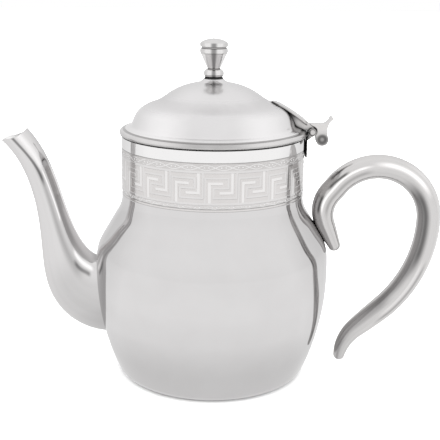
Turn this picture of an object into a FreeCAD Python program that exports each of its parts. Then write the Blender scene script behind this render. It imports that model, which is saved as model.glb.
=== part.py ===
import FreeCAD, Part
import math
import os

import Sketcher

# Coffee pot with a hinged lid, in millimetres.
# The origin is the centre of the base, +Z is up, the handle is on +X and the spout on -X.

# Driving dimensions
SIZES = {
    # Pot body
    "mouth_height": 132.6,
    "belly_diameter": 126.8,
    "belly_height": 58.0,
    "belly_wall_radius": 133.0,
    "base_corner_radius": 8.0,
    "shoulder_radius": 18.0,
    "shoulder_slope": 30.0,
    "neck_diameter": 98.0,
    "neck_foot_height": 98.7,
    "neck_fillet_radius": 10.0,
    "pot_wall": 0.8,
    # Spout
    "spout_root_level": 43.8,
    "spout_root_inset": 8.4,
    "spout_root_pull": 39.3,
    "spout_root_tall": 46.6,
    "spout_root_wide": 28.0,
    "spout_tip_reach": 106.8,
    "spout_tip_level": 132.0,
    "spout_tip_pull": 41.2,
    "spout_tip_angle": 44.9,
    "spout_tip_diameter": 14.6,
    "spout_taper": 2.7,
    "spout_wall": 0.9,
    "spout_mouth_slope": 29.4,
    # Spout port and strainer
    "port_wide": 15.0,
    "port_tall": 30.0,
    "strainer_margin": 3.0,
    "strainer_sheet": 0.6,
    "strainer_hole": 2.6,
    "strainer_pitch": 4.2,
    # Handle
    "handle_diameter": 13.2,
    "handle_curl_diameter": 7.0,
    "handle_curl_taper": 40.0,
    "handle_tail_diameter": 6.6,
    "handle_tail_taper": 44.0,
    "handle_seat_drop": 11.3,
    "handle_sink": 0.5,
    "handle_curl_length": 16.0,
    "handle_curl_lean": 5.5,
    "handle_crook_radius": 12.0,
    "handle_crook_turn": 64.0,
    "handle_rise": 8.6,
    "handle_top_radius": 28.5,
    "handle_back_radius": 70.0,
    "handle_back_turn": 49.0,
    "handle_sweep": 17.0,
    "handle_tail_radius": 26.0,
    "handle_tail_turn": 41.0,
    # Lid
    "lid_sheet": 0.8,
    "lid_gap": 0.3,
    "lid_bead_diameter": 2.8,
    "lid_flange_slope": 24.0,
    "lid_foot_radius": 2.0,
    "lid_bulge_radius": 16.7,
    "lid_bulge_inset": 21.4,
    "lid_bulge_level": 1.0,
    "lid_waist_radius": 8.0,
    "lid_dome_radius": 46.0,
    "lid_crown_level": 28.7,
    "lid_boss_diameter": 10.8,
    "lid_boss_height": 1.1,
    "lid_flare_radius": 6.0,
    "skirt_clearance": 1.2,
    "skirt_sheet": 0.7,
    "skirt_depth": 6.0,
    # Knob and its fixing
    "gasket_thickness": 0.6,
    "gasket_diameter": 9.8,
    "knob_bead_diameter": 10.9,
    "knob_bead_height": 4.4,
    "knob_bead_round": 2.4,
    "knob_stem_diameter": 6.6,
    "knob_cone_height": 8.2,
    "knob_ring_diameter": 14.9,
    "knob_ring_height": 2.7,
    "knob_ring_round": 2.6,
    "knob_groove_width": 0.9,
    "knob_groove_depth": 0.8,
    "knob_cap_edge": 2.0,
    "knob_cap_rise": 2.2,
    "knob_edge_break": 0.35,
    "screw_diameter": 4.0,
    "screw_clearance": 0.1,
    "screw_depth": 8.0,
    "screw_tip_gap": 1.0,
    "screw_tip_chamfer": 0.6,
    "screw_head_diameter": 7.2,
    "screw_head_height": 2.2,
    "screw_head_round": 1.2,
    "screw_slot_width": 1.0,
    "screw_slot_depth": 1.1,
    "washer_diameter": 10.0,
    "washer_thickness": 0.8,
    "washer_seat_margin": 0.3,
    # Hinge
    "hinge_offset": 3.6,
    "hinge_level": 2.6,
    "hinge_eye_diameter": 4.2,
    "hinge_pin_diameter": 2.0,
    "hinge_pin_clearance": 0.05,
    "hinge_pin_head": 0.6,
    "hinge_pin_head_diameter": 2.9,
    "hinge_eye_width": 7.0,
    "hinge_side_clearance": 0.2,
    "hinge_ear_thickness": 2.2,
    "leaf_standoff": 0.2,
    "leaf_sheet": 0.9,
    "leaf_drop": 11.0,
    "leaf_bend_drop": 1.6,
    "leaf_top_drop": 0.4,
    "leaf_shoulder": 0.8,
    "leaf_weld_wide": 5.0,
    "leaf_weld_tall": 7.0,
    # Lid strap and thumb scroll
    "strap_sheet": 1.3,
    "strap_sink": 0.1,
    "strap_arch_radius": 80.0,
    "strap_width": 11.0,
    "strap_tip_angle": 80.0,
    "strap_nose_round": 6.0,
    "strap_neck_length": 2.6,
    "strap_taper_length": 2.0,
    "scroll_reach": 5.5,
    "scroll_drop": 4.2,
    "scroll_diameter": 7.0,
    "scroll_crease_angle": 170.0,
    "scroll_dimple_radius": 3.0,
    "scroll_dimple_depth": 1.0,
    "thumb_level": 4.0,
    "horn_reach": 10.2,
    "horn_level": 7.0,
    "horn_tip_diameter": 1.9,
    "horn_hollow_radius": 4.6,
    "horn_back_radius": 8.0,
}

doc = FreeCAD.newDocument("coffee_pot")
sheet = doc.addObject("Spreadsheet::Sheet", "sizes")
for row, (alias, value) in enumerate(SIZES.items(), 1):
    sheet.set(f"A{row}", alias)
    sheet.set(f"B{row}", str(value))
    sheet.setAlias(f"B{row}", alias)
doc.recompute()


class Size:
    """A dimension worked out from the sheet: its value, and the expression that keeps it tied."""

    def __init__(self, value, text):
        self.value = value
        self.text = text

    def __add__(self, other):
        other = as_size(other)
        return Size(self.value + other.value, f"({self.text} + {other.text})")

    def __sub__(self, other):
        other = as_size(other)
        return Size(self.value - other.value, f"({self.text} - {other.text})")

    def __mul__(self, other):
        other = as_size(other)
        return Size(self.value * other.value, f"({self.text} * {other.text})")

    def __truediv__(self, other):
        other = as_size(other)
        return Size(self.value / other.value, f"({self.text} / {other.text})")

    def __neg__(self):
        return Size(-self.value, f"(-{self.text})")


def as_size(item):
    return item if isinstance(item, Size) else Size(item, f"({item})")


def cell(alias):
    """One driving dimension of the sheet."""
    return Size(float(sheet.get(alias)), f"sizes.{alias}")


def size(alias):
    return cell(alias).value


def cosine(angle):
    return Size(math.cos(math.radians(angle.value)), f"cos({angle.text} * 1 deg)")


def sine(angle):
    return Size(math.sin(math.radians(angle.value)), f"sin({angle.text} * 1 deg)")


def root(item):
    return Size(math.sqrt(item.value), f"sqrt({item.text})")


def direction(degrees):
    """Unit vector in a sketch's plane, at an angle up from its first axis."""
    return FreeCAD.Vector(math.cos(math.radians(degrees)), math.sin(math.radians(degrees)), 0)


def angle_of(vector):
    return math.degrees(math.atan2(vector.y, vector.x))


def point(across, up):
    return FreeCAD.Vector(across, up, 0)


def circles_meet(centre_a, radius_a, centre_b, radius_b, side):
    """Where two circles cross, on the left (side 1) or right (side -1) of the line from a to b."""
    gap = centre_b - centre_a
    along = (gap.Length ** 2 + radius_a ** 2 - radius_b ** 2) / (2 * gap.Length)
    across = math.sqrt(radius_a ** 2 - along ** 2)
    unit = FreeCAD.Vector(gap).normalize()
    return centre_a + unit * along + point(-unit.y, unit.x) * (side * across)


# Outlines: lists of lines and arcs, joined end to end into a closed sketch
def line(start, end, smooth=False):
    return {"kind": "line", "start": start, "end": end, "smooth": smooth}


def arc(centre, radius, start_angle, end_angle, smooth=True):
    """An arc that runs from one angle to another; smooth means tangent to the piece before it."""
    return {"kind": "arc", "centre": centre, "radius": radius, "from": start_angle, "to": end_angle,
            "smooth": smooth}


def new_body(name):
    body = doc.addObject("PartDesign::Body", name)
    body.Label = name
    return body


def origin_plane(body, role):
    return next(feature for feature in body.Origin.OriginFeatures if feature.Role == role)


def new_sketch(body, role="XZ_Plane"):
    sketch = body.newObject("Sketcher::SketchObject", f"{body.Name}_outline")
    sketch.AttachmentSupport = [(origin_plane(body, role), "")]
    sketch.MapMode = "FlatFace"
    return sketch


def add_outline(sketch, pieces):
    """Draws a closed outline and joins its pieces; gives each piece's number and its two end numbers."""
    placed = []
    for piece in pieces:
        if piece["kind"] == "line":
            number = sketch.addGeometry(Part.LineSegment(piece["start"], piece["end"]), False)
            placed.append((number, 1, 2))
            continue
        circle = Part.Circle(piece["centre"], FreeCAD.Vector(0, 0, 1), piece["radius"])
        low, high = sorted((piece["from"], piece["to"]))
        number = sketch.addGeometry(Part.ArcOfCircle(circle, math.radians(low), math.radians(high)), False)
        forward = piece["to"] > piece["from"]
        placed.append((number, 1, 2) if forward else (number, 2, 1))
    for k, piece in enumerate(pieces):
        before = placed[k - 1]
        here = placed[k]
        kind = "Tangent" if piece["smooth"] else "Coincident"
        sketch.addConstraint(Sketcher.Constraint(kind, before[0], before[2], here[0], here[1]))
    return placed


CENTRE = 3
ORIGIN = (-1, 1)
LEVEL_AXIS = -1
UPRIGHT_AXIS = -2


def bind(sketch, constraint, text):
    """Adds a driving constraint and ties it to the sheet."""
    number = sketch.addConstraint(constraint)
    sketch.setExpression(f"Constraints[{number}]", text)


def bind_place(sketch, kind, axis, piece, spot, place):
    """Ties a point's distance from one axis of the sketch."""
    if place.value == 0:
        sketch.addConstraint(Sketcher.Constraint("PointOnObject", piece, spot, axis))
    elif place.value > 0:
        bind(sketch, Sketcher.Constraint(kind, *ORIGIN, piece, spot, place.value), place.text)
    else:
        bind(sketch, Sketcher.Constraint(kind, piece, spot, *ORIGIN, -place.value), f"-{place.text}")


def bind_across(sketch, piece, spot, place):
    bind_place(sketch, "DistanceX", UPRIGHT_AXIS, piece, spot, as_size(place))


def bind_up(sketch, piece, spot, place):
    bind_place(sketch, "DistanceY", LEVEL_AXIS, piece, spot, as_size(place))


def bind_radius(sketch, piece, radius):
    bind(sketch, Sketcher.Constraint("Radius", piece, radius.value), radius.text)


def bind_angle(sketch, piece, angle):
    bind(sketch, Sketcher.Constraint("Angle", piece, math.radians(angle.value)), angle.text)


def horizontal(sketch, *pieces):
    for piece in pieces:
        sketch.addConstraint(Sketcher.Constraint("Horizontal", piece))


def vertical(sketch, *pieces):
    for piece in pieces:
        sketch.addConstraint(Sketcher.Constraint("Vertical", piece))


def corner_outline(sketch, corners, rounds):
    """A closed outline through tied corners, anticlockwise; rounds gives the radius of an edge that
    bulges outwards, by the number of the corner that it starts from."""
    pieces = []
    spots = [point(as_size(across).value, as_size(up).value) for across, up in corners]
    for k, start in enumerate(spots):
        end = spots[(k + 1) % len(spots)]
        if k not in rounds:
            pieces.append(line(start, end))
            continue
        radius = rounds[k].value
        half = (end - start) * 0.5
        inward = point(-half.y, half.x).normalize()
        centre = start + half + inward * math.sqrt(max(radius ** 2 - half.Length ** 2, 0))
        first = angle_of(start - centre)
        turn = 2 * math.degrees(math.asin(min(half.Length / radius, 1)))
        pieces.append(arc(centre, radius, first, first + turn, smooth=False))
    placed = add_outline(sketch, pieces)
    for (across, up), (number, start, end) in zip(corners, placed):
        bind_across(sketch, number, start, across)
        bind_up(sketch, number, start, up)
    for k, radius in rounds.items():
        bind_radius(sketch, placed[k][0], radius)


def revolve(body, sketch):
    turned = body.newObject("PartDesign::Revolution", f"{body.Name}_turned")
    turned.Profile = sketch
    turned.ReferenceAxis = (sketch, ["V_Axis"])
    turned.Angle = 360
    return body


def turned_body(name, corners, rounds=None):
    """A body of revolution from the corners of half its section."""
    body = new_body(name)
    sketch = new_sketch(body)
    corner_outline(sketch, corners, rounds or {})
    return revolve(body, sketch)


def pad(body, sketch, length, side="Symmetric", reverse=False):
    """Thickens a sketch, by default half to each side."""
    feature = body.newObject("PartDesign::Pad", f"{body.Name}_pad")
    feature.Profile = sketch
    feature.SideType = side
    feature.Reversed = reverse
    feature.setExpression("Length", length.text)
    return body


def boolean(kind, name, base, tool):
    result = doc.addObject(f"Part::{kind}", name)
    result.Base = base
    result.Tool = tool
    result.Label = name
    return result


def move_to(item, across, deep, up):
    """Ties an object's place to the sheet."""
    for axis, place in (("x", across), ("y", deep), ("z", up)):
        item.setExpression(f"Placement.Base.{axis}", as_size(place).text)
    return item


def block(name, across, deep, up):
    """A box between tied limits, each given as (low, high)."""
    box = doc.addObject("Part::Box", name)
    for side, (low, high) in zip(("Length", "Width", "Height"), (across, deep, up)):
        box.setExpression(side, (as_size(high) - low).text)
    return move_to(box, across[0], deep[0], up[0])


ALONG_Y = FreeCAD.Rotation(FreeCAD.Vector(1, 0, 0), 90)


def cross_rod(name, across, up, radius, length):
    """A cylinder along Y, centred on the pot's middle plane."""
    rod = doc.addObject("Part::Cylinder", name)
    rod.setExpression("Radius", radius.text)
    rod.setExpression("Height", length.text)
    rod.Placement = FreeCAD.Placement(FreeCAD.Vector(), ALONG_Y)
    return move_to(rod, across, length / 2, up)


# Places that several pieces share
neck_radius = cell("neck_diameter") / 2
mouth = cell("mouth_height")
hinge_across = neck_radius + cell("hinge_offset")
hinge_up = mouth + cell("hinge_level")
hinge = point(hinge_across.value, hinge_up.value)
eye_radius = cell("hinge_eye_diameter") / 2
hinge_width = cell("hinge_eye_width") + (cell("hinge_side_clearance") + cell("hinge_ear_thickness")) * 2
pin_hole_radius = cell("hinge_pin_diameter") / 2 + cell("hinge_pin_clearance")
rim_radius = neck_radius - cell("pot_wall") / 2
bead_radius = cell("lid_bead_diameter") / 2
bead_level = mouth + cell("lid_gap") + bead_radius
boss_level = mouth + cell("lid_crown_level") + cell("lid_boss_height")
knob_level = boss_level + cell("gasket_thickness")
dome_level = mouth + cell("lid_crown_level") - cell("lid_dome_radius")
seat_radius = cell("washer_diameter") / 2 + cell("washer_seat_margin")
inner_dome_radius = cell("lid_dome_radius") - cell("lid_sheet")
seat_level = dome_level + root(inner_dome_radius * inner_dome_radius - seat_radius * seat_radius)
washer_foot = seat_level - cell("washer_thickness")
screw_hole_radius = cell("screw_diameter") / 2 + cell("screw_clearance")
bulge_across = neck_radius - cell("lid_bulge_inset")
bulge_up = mouth + cell("lid_bulge_level")
NONE = Size(0.0, "0")


# Pot body
def pot_points(inset):
    """Centres and angles of the pot's outline, drawn in from the outer face by inset."""
    wall_radius = size("belly_wall_radius")
    corner = size("base_corner_radius")
    shoulder = size("shoulder_radius")
    fillet = size("neck_fillet_radius")
    slope = size("shoulder_slope")
    wall_centre = point(size("belly_diameter") / 2 - wall_radius, size("belly_height"))
    rise = size("belly_height") - corner
    corner_centre = wall_centre + point(math.sqrt((wall_radius - corner) ** 2 - rise ** 2), -rise)
    fillet_centre = point(neck_radius.value + fillet, size("neck_foot_height"))
    slope_top = fillet_centre - direction(slope) * fillet
    run = direction(slope - 90)
    start = slope_top - direction(slope) * shoulder - wall_centre
    half = start.dot(run)
    length = -half + math.sqrt(half ** 2 - start.Length ** 2 + (wall_radius - shoulder) ** 2)
    slope_foot = slope_top + run * length
    shoulder_centre = slope_foot - direction(slope) * shoulder
    inward = direction(slope) * -inset
    return {"wall": wall_centre, "corner": corner_centre, "shoulder": shoulder_centre,
            "fillet": fillet_centre, "slope_foot": slope_foot + inward, "slope_top": slope_top + inward,
            "corner_angle": angle_of(corner_centre - wall_centre),
            "shoulder_angle": angle_of(shoulder_centre - wall_centre)}


def pot_solid(name, inset, top):
    """The pot as a filled solid up to a level, its whole outline drawn in by inset."""
    spot = pot_points(inset.value)
    slope = cell("shoulder_slope")
    neck = neck_radius - inset
    foot = cell("neck_foot_height")
    corner_radius = cell("base_corner_radius") - inset
    wall_radius = cell("belly_wall_radius") - inset
    shoulder_radius = cell("shoulder_radius") - inset
    fillet_radius = cell("neck_fillet_radius") + inset
    base_edge = point(spot["corner"].x, inset.value)
    pieces = [
        line(point(0, inset.value), base_edge),
        arc(spot["corner"], corner_radius.value, -90, spot["corner_angle"]),
        arc(spot["wall"], wall_radius.value, spot["corner_angle"], spot["shoulder_angle"]),
        arc(spot["shoulder"], shoulder_radius.value, spot["shoulder_angle"], slope.value),
        line(spot["slope_foot"], spot["slope_top"], smooth=True),
        arc(spot["fillet"], fillet_radius.value, 180 + slope.value, 180),
        line(point(neck.value, foot.value), point(neck.value, top.value), smooth=True),
        line(point(neck.value, top.value), point(0, top.value)),
        line(point(0, top.value), point(0, inset.value)),
    ]
    body = new_body(name)
    sketch = new_sketch(body)
    base, corner, wall, shoulder, flank, fillet, neck_side, lid_end, axis = [
        placed[0] for placed in add_outline(sketch, pieces)]
    horizontal(sketch, base, lid_end)
    vertical(sketch, neck_side)
    bind_across(sketch, axis, 1, NONE)
    bind_across(sketch, axis, 2, NONE)
    bind_up(sketch, base, 1, inset)
    bind_radius(sketch, corner, corner_radius)
    bind_radius(sketch, wall, wall_radius)
    bind_radius(sketch, shoulder, shoulder_radius)
    bind_radius(sketch, fillet, fillet_radius)
    bind_across(sketch, wall, CENTRE, cell("belly_diameter") / 2 - cell("belly_wall_radius"))
    bind_up(sketch, wall, CENTRE, cell("belly_height"))
    bind_angle(sketch, flank, slope + 90)
    bind_across(sketch, neck_side, 1, neck)
    bind_up(sketch, fillet, CENTRE, foot)
    bind_up(sketch, neck_side, 2, top)
    return revolve(body, sketch)


def slot_outline(sketch, wide, tall, level):
    """An upright slot with round ends, in a sketch of the Y-Z plane."""
    half = wide / 2
    reach = (tall - wide) / 2
    upper_end = level + reach
    lower_end = level - reach
    side = half.value
    pieces = [
        line(point(side, lower_end.value), point(side, upper_end.value), smooth=True),
        arc(point(0, upper_end.value), side, 0, 180),
        line(point(-side, upper_end.value), point(-side, lower_end.value), smooth=True),
        arc(point(0, lower_end.value), side, 180, 360),
    ]
    right, upper, left, lower = [placed[0] for placed in add_outline(sketch, pieces)]
    vertical(sketch, right)
    bind_across(sketch, upper, CENTRE, NONE)
    bind_across(sketch, lower, CENTRE, NONE)
    bind_radius(sketch, upper, half)
    bind_up(sketch, upper, CENTRE, upper_end)
    bind_up(sketch, lower, CENTRE, lower_end)


def make_body_shell(pot_outer, pot_inner):
    port = new_body("spout_port")
    sketch = new_sketch(port, "YZ_Plane")
    slot_outline(sketch, cell("port_wide"), cell("port_tall"), cell("spout_root_level"))
    pad(port, sketch, cell("belly_diameter"), "One side", reverse=True)
    wall = boolean("Cut", "pot_wall_blank", pot_outer, pot_inner)
    return boolean("Cut", "body_shell", wall, port)


def make_strainer(pot_inner):
    """Perforated plate, dished to the inside of the wall and a margin larger than the port."""
    margin = cell("strainer_margin") * 2
    level = cell("spout_root_level")
    pitch = cell("strainer_pitch")
    hole = cell("strainer_hole") / 2
    half_port = size("port_wide") / 2
    prism = new_body("strainer_prism")
    sketch = new_sketch(prism, "YZ_Plane")
    slot_outline(sketch, cell("port_wide") + margin, cell("port_tall") + margin, level)
    row_step = math.sqrt(3) / 2
    rows = int((size("port_tall") / 2 - hole.value) / (pitch.value * row_step))
    columns = int(size("port_wide") / pitch.value) + 1
    for row in range(-rows, rows + 1):
        shift = 0.5 if row % 2 else 0.0
        up = level + pitch * (row * row_step)
        past_end = max(abs(up.value - level.value) - size("port_tall") / 2 + half_port, 0)
        for column in range(-columns, columns + 1):
            across = pitch * (column + shift)
            if math.hypot(across.value, past_end) + hole.value > half_port:
                continue
            spot = point(across.value, up.value)
            circle = sketch.addGeometry(Part.Circle(spot, FreeCAD.Vector(0, 0, 1), hole.value), False)
            bind_radius(sketch, circle, hole)
            bind_across(sketch, circle, CENTRE, across)
            bind_up(sketch, circle, CENTRE, up)
    pad(prism, sketch, cell("belly_diameter"), "One side", reverse=True)
    hollow = pot_solid("strainer_hollow", cell("pot_wall") + cell("strainer_sheet"), mouth)
    blank = boolean("Common", "strainer_blank", prism, pot_inner)
    return boolean("Cut", "spout_strainer", blank, hollow)


# Spout
SPOUT_STATIONS = 12
SPOUT_OVERRUN = 1.12


def spout_controls():
    """The four control points of the spout's centre line."""
    root_across = cell("spout_root_inset") - cell("belly_diameter") / 2
    root_up = cell("spout_root_level")
    tip_across = -cell("spout_tip_reach")
    tip_up = cell("spout_tip_level")
    angle = cell("spout_tip_angle")
    return [
        (root_across, root_up),
        (root_across - cell("spout_root_pull"), root_up),
        (tip_across + cell("spout_tip_pull") * cosine(angle), tip_up - cell("spout_tip_pull") * sine(angle)),
        (tip_across, tip_up),
    ]


def weighted(sizes, weights):
    total = sizes[0] * weights[0]
    for item, weight in zip(sizes[1:], weights[1:]):
        total = total + item * weight
    return total


def spout_tube(name, inset):
    """A solid tube along the spout's centre line, oval at the root and round at the tip."""
    controls = spout_controls()
    across = [control[0] for control in controls]
    up = [control[1] for control in controls]
    tip = cell("spout_tip_diameter")
    sections = []
    for k in range(SPOUT_STATIONS + 1):
        t = SPOUT_OVERRUN * k / SPOUT_STATIONS
        weights = [(1 - t) ** 3, 3 * t * (1 - t) ** 2, 3 * t ** 2 * (1 - t), t ** 3]
        slopes = [-3 * (1 - t) ** 2, 3 * (1 - t) * (1 - 3 * t), 3 * t * (2 - 3 * t), 3 * t ** 2]
        course = math.atan2(weighted(across, slopes).value, weighted(up, slopes).value)
        fade = 1 - 3 * t ** 2 + 2 * t ** 3 if t < 1 else 0.0
        taper = Size(fade ** size("spout_taper"), f"({fade}) ^ sizes.spout_taper") if fade else NONE
        section = doc.addObject("Part::Ellipse", f"{name}_section_{k}")
        section.Placement.Rotation = FreeCAD.Rotation(FreeCAD.Vector(0, 1, 0), math.degrees(course))
        move_to(section, weighted(across, weights), NONE, weighted(up, weights))
        tall = (tip + (cell("spout_root_tall") - tip) * taper) / 2 - inset
        wide = (tip + (cell("spout_root_wide") - tip) * taper) / 2 - inset
        section.setExpression("MajorRadius", tall.text)
        section.setExpression("MinorRadius", wide.text)
        sections.append(section)
    return loft(name, sections)


def loft(name, sections):
    solid = doc.addObject("Part::Loft", name)
    solid.Sections = sections
    solid.Solid = True
    solid.Ruled = False
    return solid


def make_spout(pot_outer):
    outer = spout_tube("spout_outside", NONE)
    inner = spout_tube("spout_bore", cell("spout_wall"))
    walled = boolean("Cut", "spout_walled", outer, inner)
    saw_side = cell("spout_tip_diameter") * 4
    saw = doc.addObject("Part::Box", "spout_mouth_saw")
    for side in ("Length", "Width", "Height"):
        saw.setExpression(side, saw_side.text)
    half = saw_side.value / 2
    slope = FreeCAD.Rotation(FreeCAD.Vector(0, 1, 0), -size("spout_mouth_slope"))
    tip = FreeCAD.Vector(-size("spout_tip_reach"), 0, size("spout_tip_level"))
    saw.Placement = FreeCAD.Placement(tip + slope.multVec(FreeCAD.Vector(-half, -half, 0)), slope)
    open_tube = boolean("Cut", "spout_sawn", walled, saw)
    return boolean("Cut", "spout", open_tube, pot_outer)


# Handle
HANDLE_STEP = 7.0
HANDLE_CAP_ANGLES = (30, 55, 74)


def handle_width(along, total):
    """The handle's thickness a distance along it; it thins towards both ends."""
    full = cell("handle_diameter")
    curl = max(1 - along / size("handle_curl_taper"), 0) ** 2
    tail = max(1 - (total - along) / size("handle_tail_taper"), 0) ** 2
    return full - (full - cell("handle_curl_diameter")) * curl - (full - cell("handle_tail_diameter")) * tail


def stretch_length(measure, turn):
    return abs(math.radians(turn)) * measure if turn else measure


def handle_route():
    """The handle's centre line: its start, its heading and then straight runs and arcs."""
    slope = size("shoulder_slope")
    up_slope = slope + 90
    heading = up_slope - size("handle_curl_lean")
    after_crook = heading - size("handle_crook_turn")
    stretches = [
        (size("handle_curl_length"), 0),
        (size("handle_crook_radius"), -size("handle_crook_turn")),
        (size("handle_rise"), 0),
        (size("handle_top_radius"), -(after_crook + 90)),
        (size("handle_back_radius"), -size("handle_back_turn")),
        (size("handle_sweep"), 0),
        (size("handle_tail_radius"), size("handle_tail_turn")),
    ]
    total = sum(stretch_length(measure, turn) for measure, turn in stretches)
    seat_half = handle_width(size("handle_curl_length"), total).value / 2
    seat = pot_points(0)["slope_top"] - direction(up_slope) * size("handle_seat_drop")
    seat = seat + direction(slope) * (seat_half - size("handle_sink"))
    return seat - direction(heading) * size("handle_curl_length"), heading, stretches, total


def route_point(start, heading, stretches, along):
    """Point and heading at a distance along straight runs (turn 0) and arcs (radius, turn)."""
    here = start
    for measure, turn in stretches:
        length = stretch_length(measure, turn)
        part = min(along, length)
        if turn:
            side = 90 if turn > 0 else -90
            centre = here + direction(heading + side) * measure
            heading = heading + turn * part / length
            here = centre - direction(heading + side) * measure
        else:
            here = here + direction(heading) * part
        along = along - part
        if along <= 0:
            break
    return here, heading


def make_handle(pot_outer):
    start, heading, stretches, total = handle_route()
    steps = round(total / HANDLE_STEP)
    stations = [(total * k / steps, 0.0, 1.0) for k in range(steps + 1)]
    for cap in HANDLE_CAP_ANGLES:
        beyond = math.sin(math.radians(cap))
        thin = math.cos(math.radians(cap))
        stations.insert(0, (0.0, -beyond, thin))
        stations.append((total, beyond, thin))
    sections = []
    for k, (along, beyond, thin) in enumerate(stations):
        spot, course = route_point(start, heading, stretches, along)
        radius = handle_width(along, total) / 2
        spot = spot + direction(course) * (beyond * radius.value)
        section = doc.addObject("Part::Circle", f"handle_section_{k}")
        section.setExpression("Radius", (radius * thin).text)
        section.Placement = FreeCAD.Placement(
            FreeCAD.Vector(spot.x, 0, spot.y), FreeCAD.Rotation(FreeCAD.Vector(0, 1, 0), 90 - course))
        sections.append(section)
    return boolean("Cut", "handle", loft("handle_bar", sections), pot_outer)


# Lid
def lid_points():
    """Centres of the arcs of the lid's outer face."""
    slope = size("lid_flange_slope")
    upward = direction(90 - slope)
    foot_radius = size("lid_foot_radius")
    waist_radius = size("lid_waist_radius")
    dome_radius = size("lid_dome_radius")
    flare_radius = size("lid_flare_radius")
    bulge_radius = size("lid_bulge_radius")
    bulge = point(bulge_across.value, bulge_up.value)
    dome = point(0, dome_level.value)
    bead = point(rim_radius.value, bead_level.value)
    rise = upward.dot(bead - bulge) + bead_radius.value + foot_radius
    reach = math.sqrt((bulge_radius + foot_radius) ** 2 - rise ** 2)
    boss_edge = point(size("lid_boss_diameter") / 2, boss_level.value)
    return {"bulge": bulge, "dome": dome, "upward": upward, "boss_edge": boss_edge,
            "foot": bulge + upward * rise + direction(-slope) * reach,
            "waist": circles_meet(dome, dome_radius + waist_radius, bulge, bulge_radius + waist_radius, 1),
            "flare": circles_meet(dome, dome_radius + flare_radius, boss_edge, flare_radius, -1)}


def lid_solid(name, inset, bottom, hollow):
    """The lid as a filled solid; the hollow one has a flat washer seat in place of the boss."""
    spot = lid_points()
    dome = spot["dome"]
    waist = spot["waist"]
    bulge = spot["bulge"]
    foot = spot["foot"]
    flare = spot["flare"]
    dome_radius = cell("lid_dome_radius") - inset
    waist_radius = cell("lid_waist_radius") + inset
    bulge_radius = cell("lid_bulge_radius") - inset
    foot_radius = cell("lid_foot_radius") + inset
    slope = cell("lid_flange_slope")
    flange_level = bead_level + (bead_radius - inset) / cosine(slope)
    rim = rim_radius.value
    top = seat_level if hollow else boss_level
    edge = point(seat_radius.value, top.value) if hollow else spot["boss_edge"]
    crown = [line(point(0, top.value), edge)]
    if hollow:
        crown.append(arc(dome, dome_radius.value, angle_of(edge - dome), angle_of(waist - dome),
                         smooth=False))
    else:
        crown.append(arc(flare, size("lid_flare_radius"), angle_of(edge - flare), angle_of(dome - flare),
                         smooth=False))
        crown.append(arc(dome, dome_radius.value, angle_of(flare - dome), angle_of(waist - dome)))
    pieces = crown + [
        arc(waist, waist_radius.value, angle_of(dome - waist), angle_of(bulge - waist)),
        arc(bulge, bulge_radius.value, angle_of(waist - bulge), angle_of(foot - bulge)),
        arc(foot, foot_radius.value, angle_of(bulge - foot), angle_of(-spot["upward"])),
        line(foot - spot["upward"] * foot_radius.value, point(rim, flange_level.value), smooth=True),
        line(point(rim, flange_level.value), point(rim, bottom.value)),
        line(point(rim, bottom.value), point(0, bottom.value)),
        line(point(0, bottom.value), point(0, top.value)),
    ]
    body = new_body(name)
    sketch = new_sketch(body)
    numbers = [placed[0] for placed in add_outline(sketch, pieces)]
    flat = numbers[0]
    dome_arc, waist_arc, bulge_arc, foot_arc, flange, side, base, axis = numbers[-8:]
    horizontal(sketch, flat, base)
    vertical(sketch, side)
    if hollow:
        bind_across(sketch, flat, 2, seat_radius)
    else:
        bind_across(sketch, flat, 2, cell("lid_boss_diameter") / 2)
        bind_up(sketch, flat, 2, boss_level)
        bind_radius(sketch, numbers[1], cell("lid_flare_radius"))
    bind_across(sketch, dome_arc, CENTRE, NONE)
    bind_up(sketch, dome_arc, CENTRE, dome_level)
    bind_radius(sketch, dome_arc, dome_radius)
    bind_radius(sketch, waist_arc, waist_radius)
    bind_across(sketch, bulge_arc, CENTRE, bulge_across)
    bind_up(sketch, bulge_arc, CENTRE, bulge_up)
    bind_radius(sketch, bulge_arc, bulge_radius)
    bind_radius(sketch, foot_arc, foot_radius)
    bind_angle(sketch, flange, -slope)
    bind_across(sketch, flange, 2, rim_radius)
    bind_up(sketch, flange, 2, flange_level)
    bind_up(sketch, side, 2, bottom)
    bind_across(sketch, axis, 1, NONE)
    bind_across(sketch, axis, 2, NONE)
    return revolve(body, sketch)


def make_lid_shell(lid_outer):
    hollow = lid_solid("lid_hollow", cell("lid_sheet"), mouth, hollow=True)
    skin = boolean("Cut", "lid_skin", lid_outer, hollow)
    bead = doc.addObject("Part::Torus", "lid_bead")
    bead.setExpression("Radius1", rim_radius.text)
    bead.setExpression("Radius2", bead_radius.text)
    move_to(bead, NONE, NONE, bead_level)
    beaded = boolean("Fuse", "lid_beaded", skin, bead)
    hole = doc.addObject("Part::Cylinder", "lid_screw_hole")
    hole.setExpression("Radius", screw_hole_radius.text)
    hole.setExpression("Height", boss_level.text)
    move_to(hole, NONE, NONE, mouth)
    return boolean("Cut", "lid_shell", beaded, hole)


def make_lid_skirt():
    """A ring that hangs from the flange inside the neck."""
    slope = cell("lid_flange_slope")
    outside = neck_radius - cell("pot_wall") - cell("skirt_clearance")
    inside = outside - cell("skirt_sheet")
    foot = mouth - cell("skirt_depth")
    under_rim = bead_level + (bead_radius - cell("lid_sheet")) / cosine(slope)
    fall = sine(slope) / cosine(slope)
    return turned_body("lid_skirt", [
        (inside, foot),
        (outside, foot),
        (outside, under_rim + (rim_radius - outside) * fall),
        (inside, under_rim + (rim_radius - inside) * fall),
    ])


# Knob and its fixing
def arc_rise(radius, chord):
    """How far an arc stands out from its chord."""
    return radius - root(radius * radius - chord * chord / 4)


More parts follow.
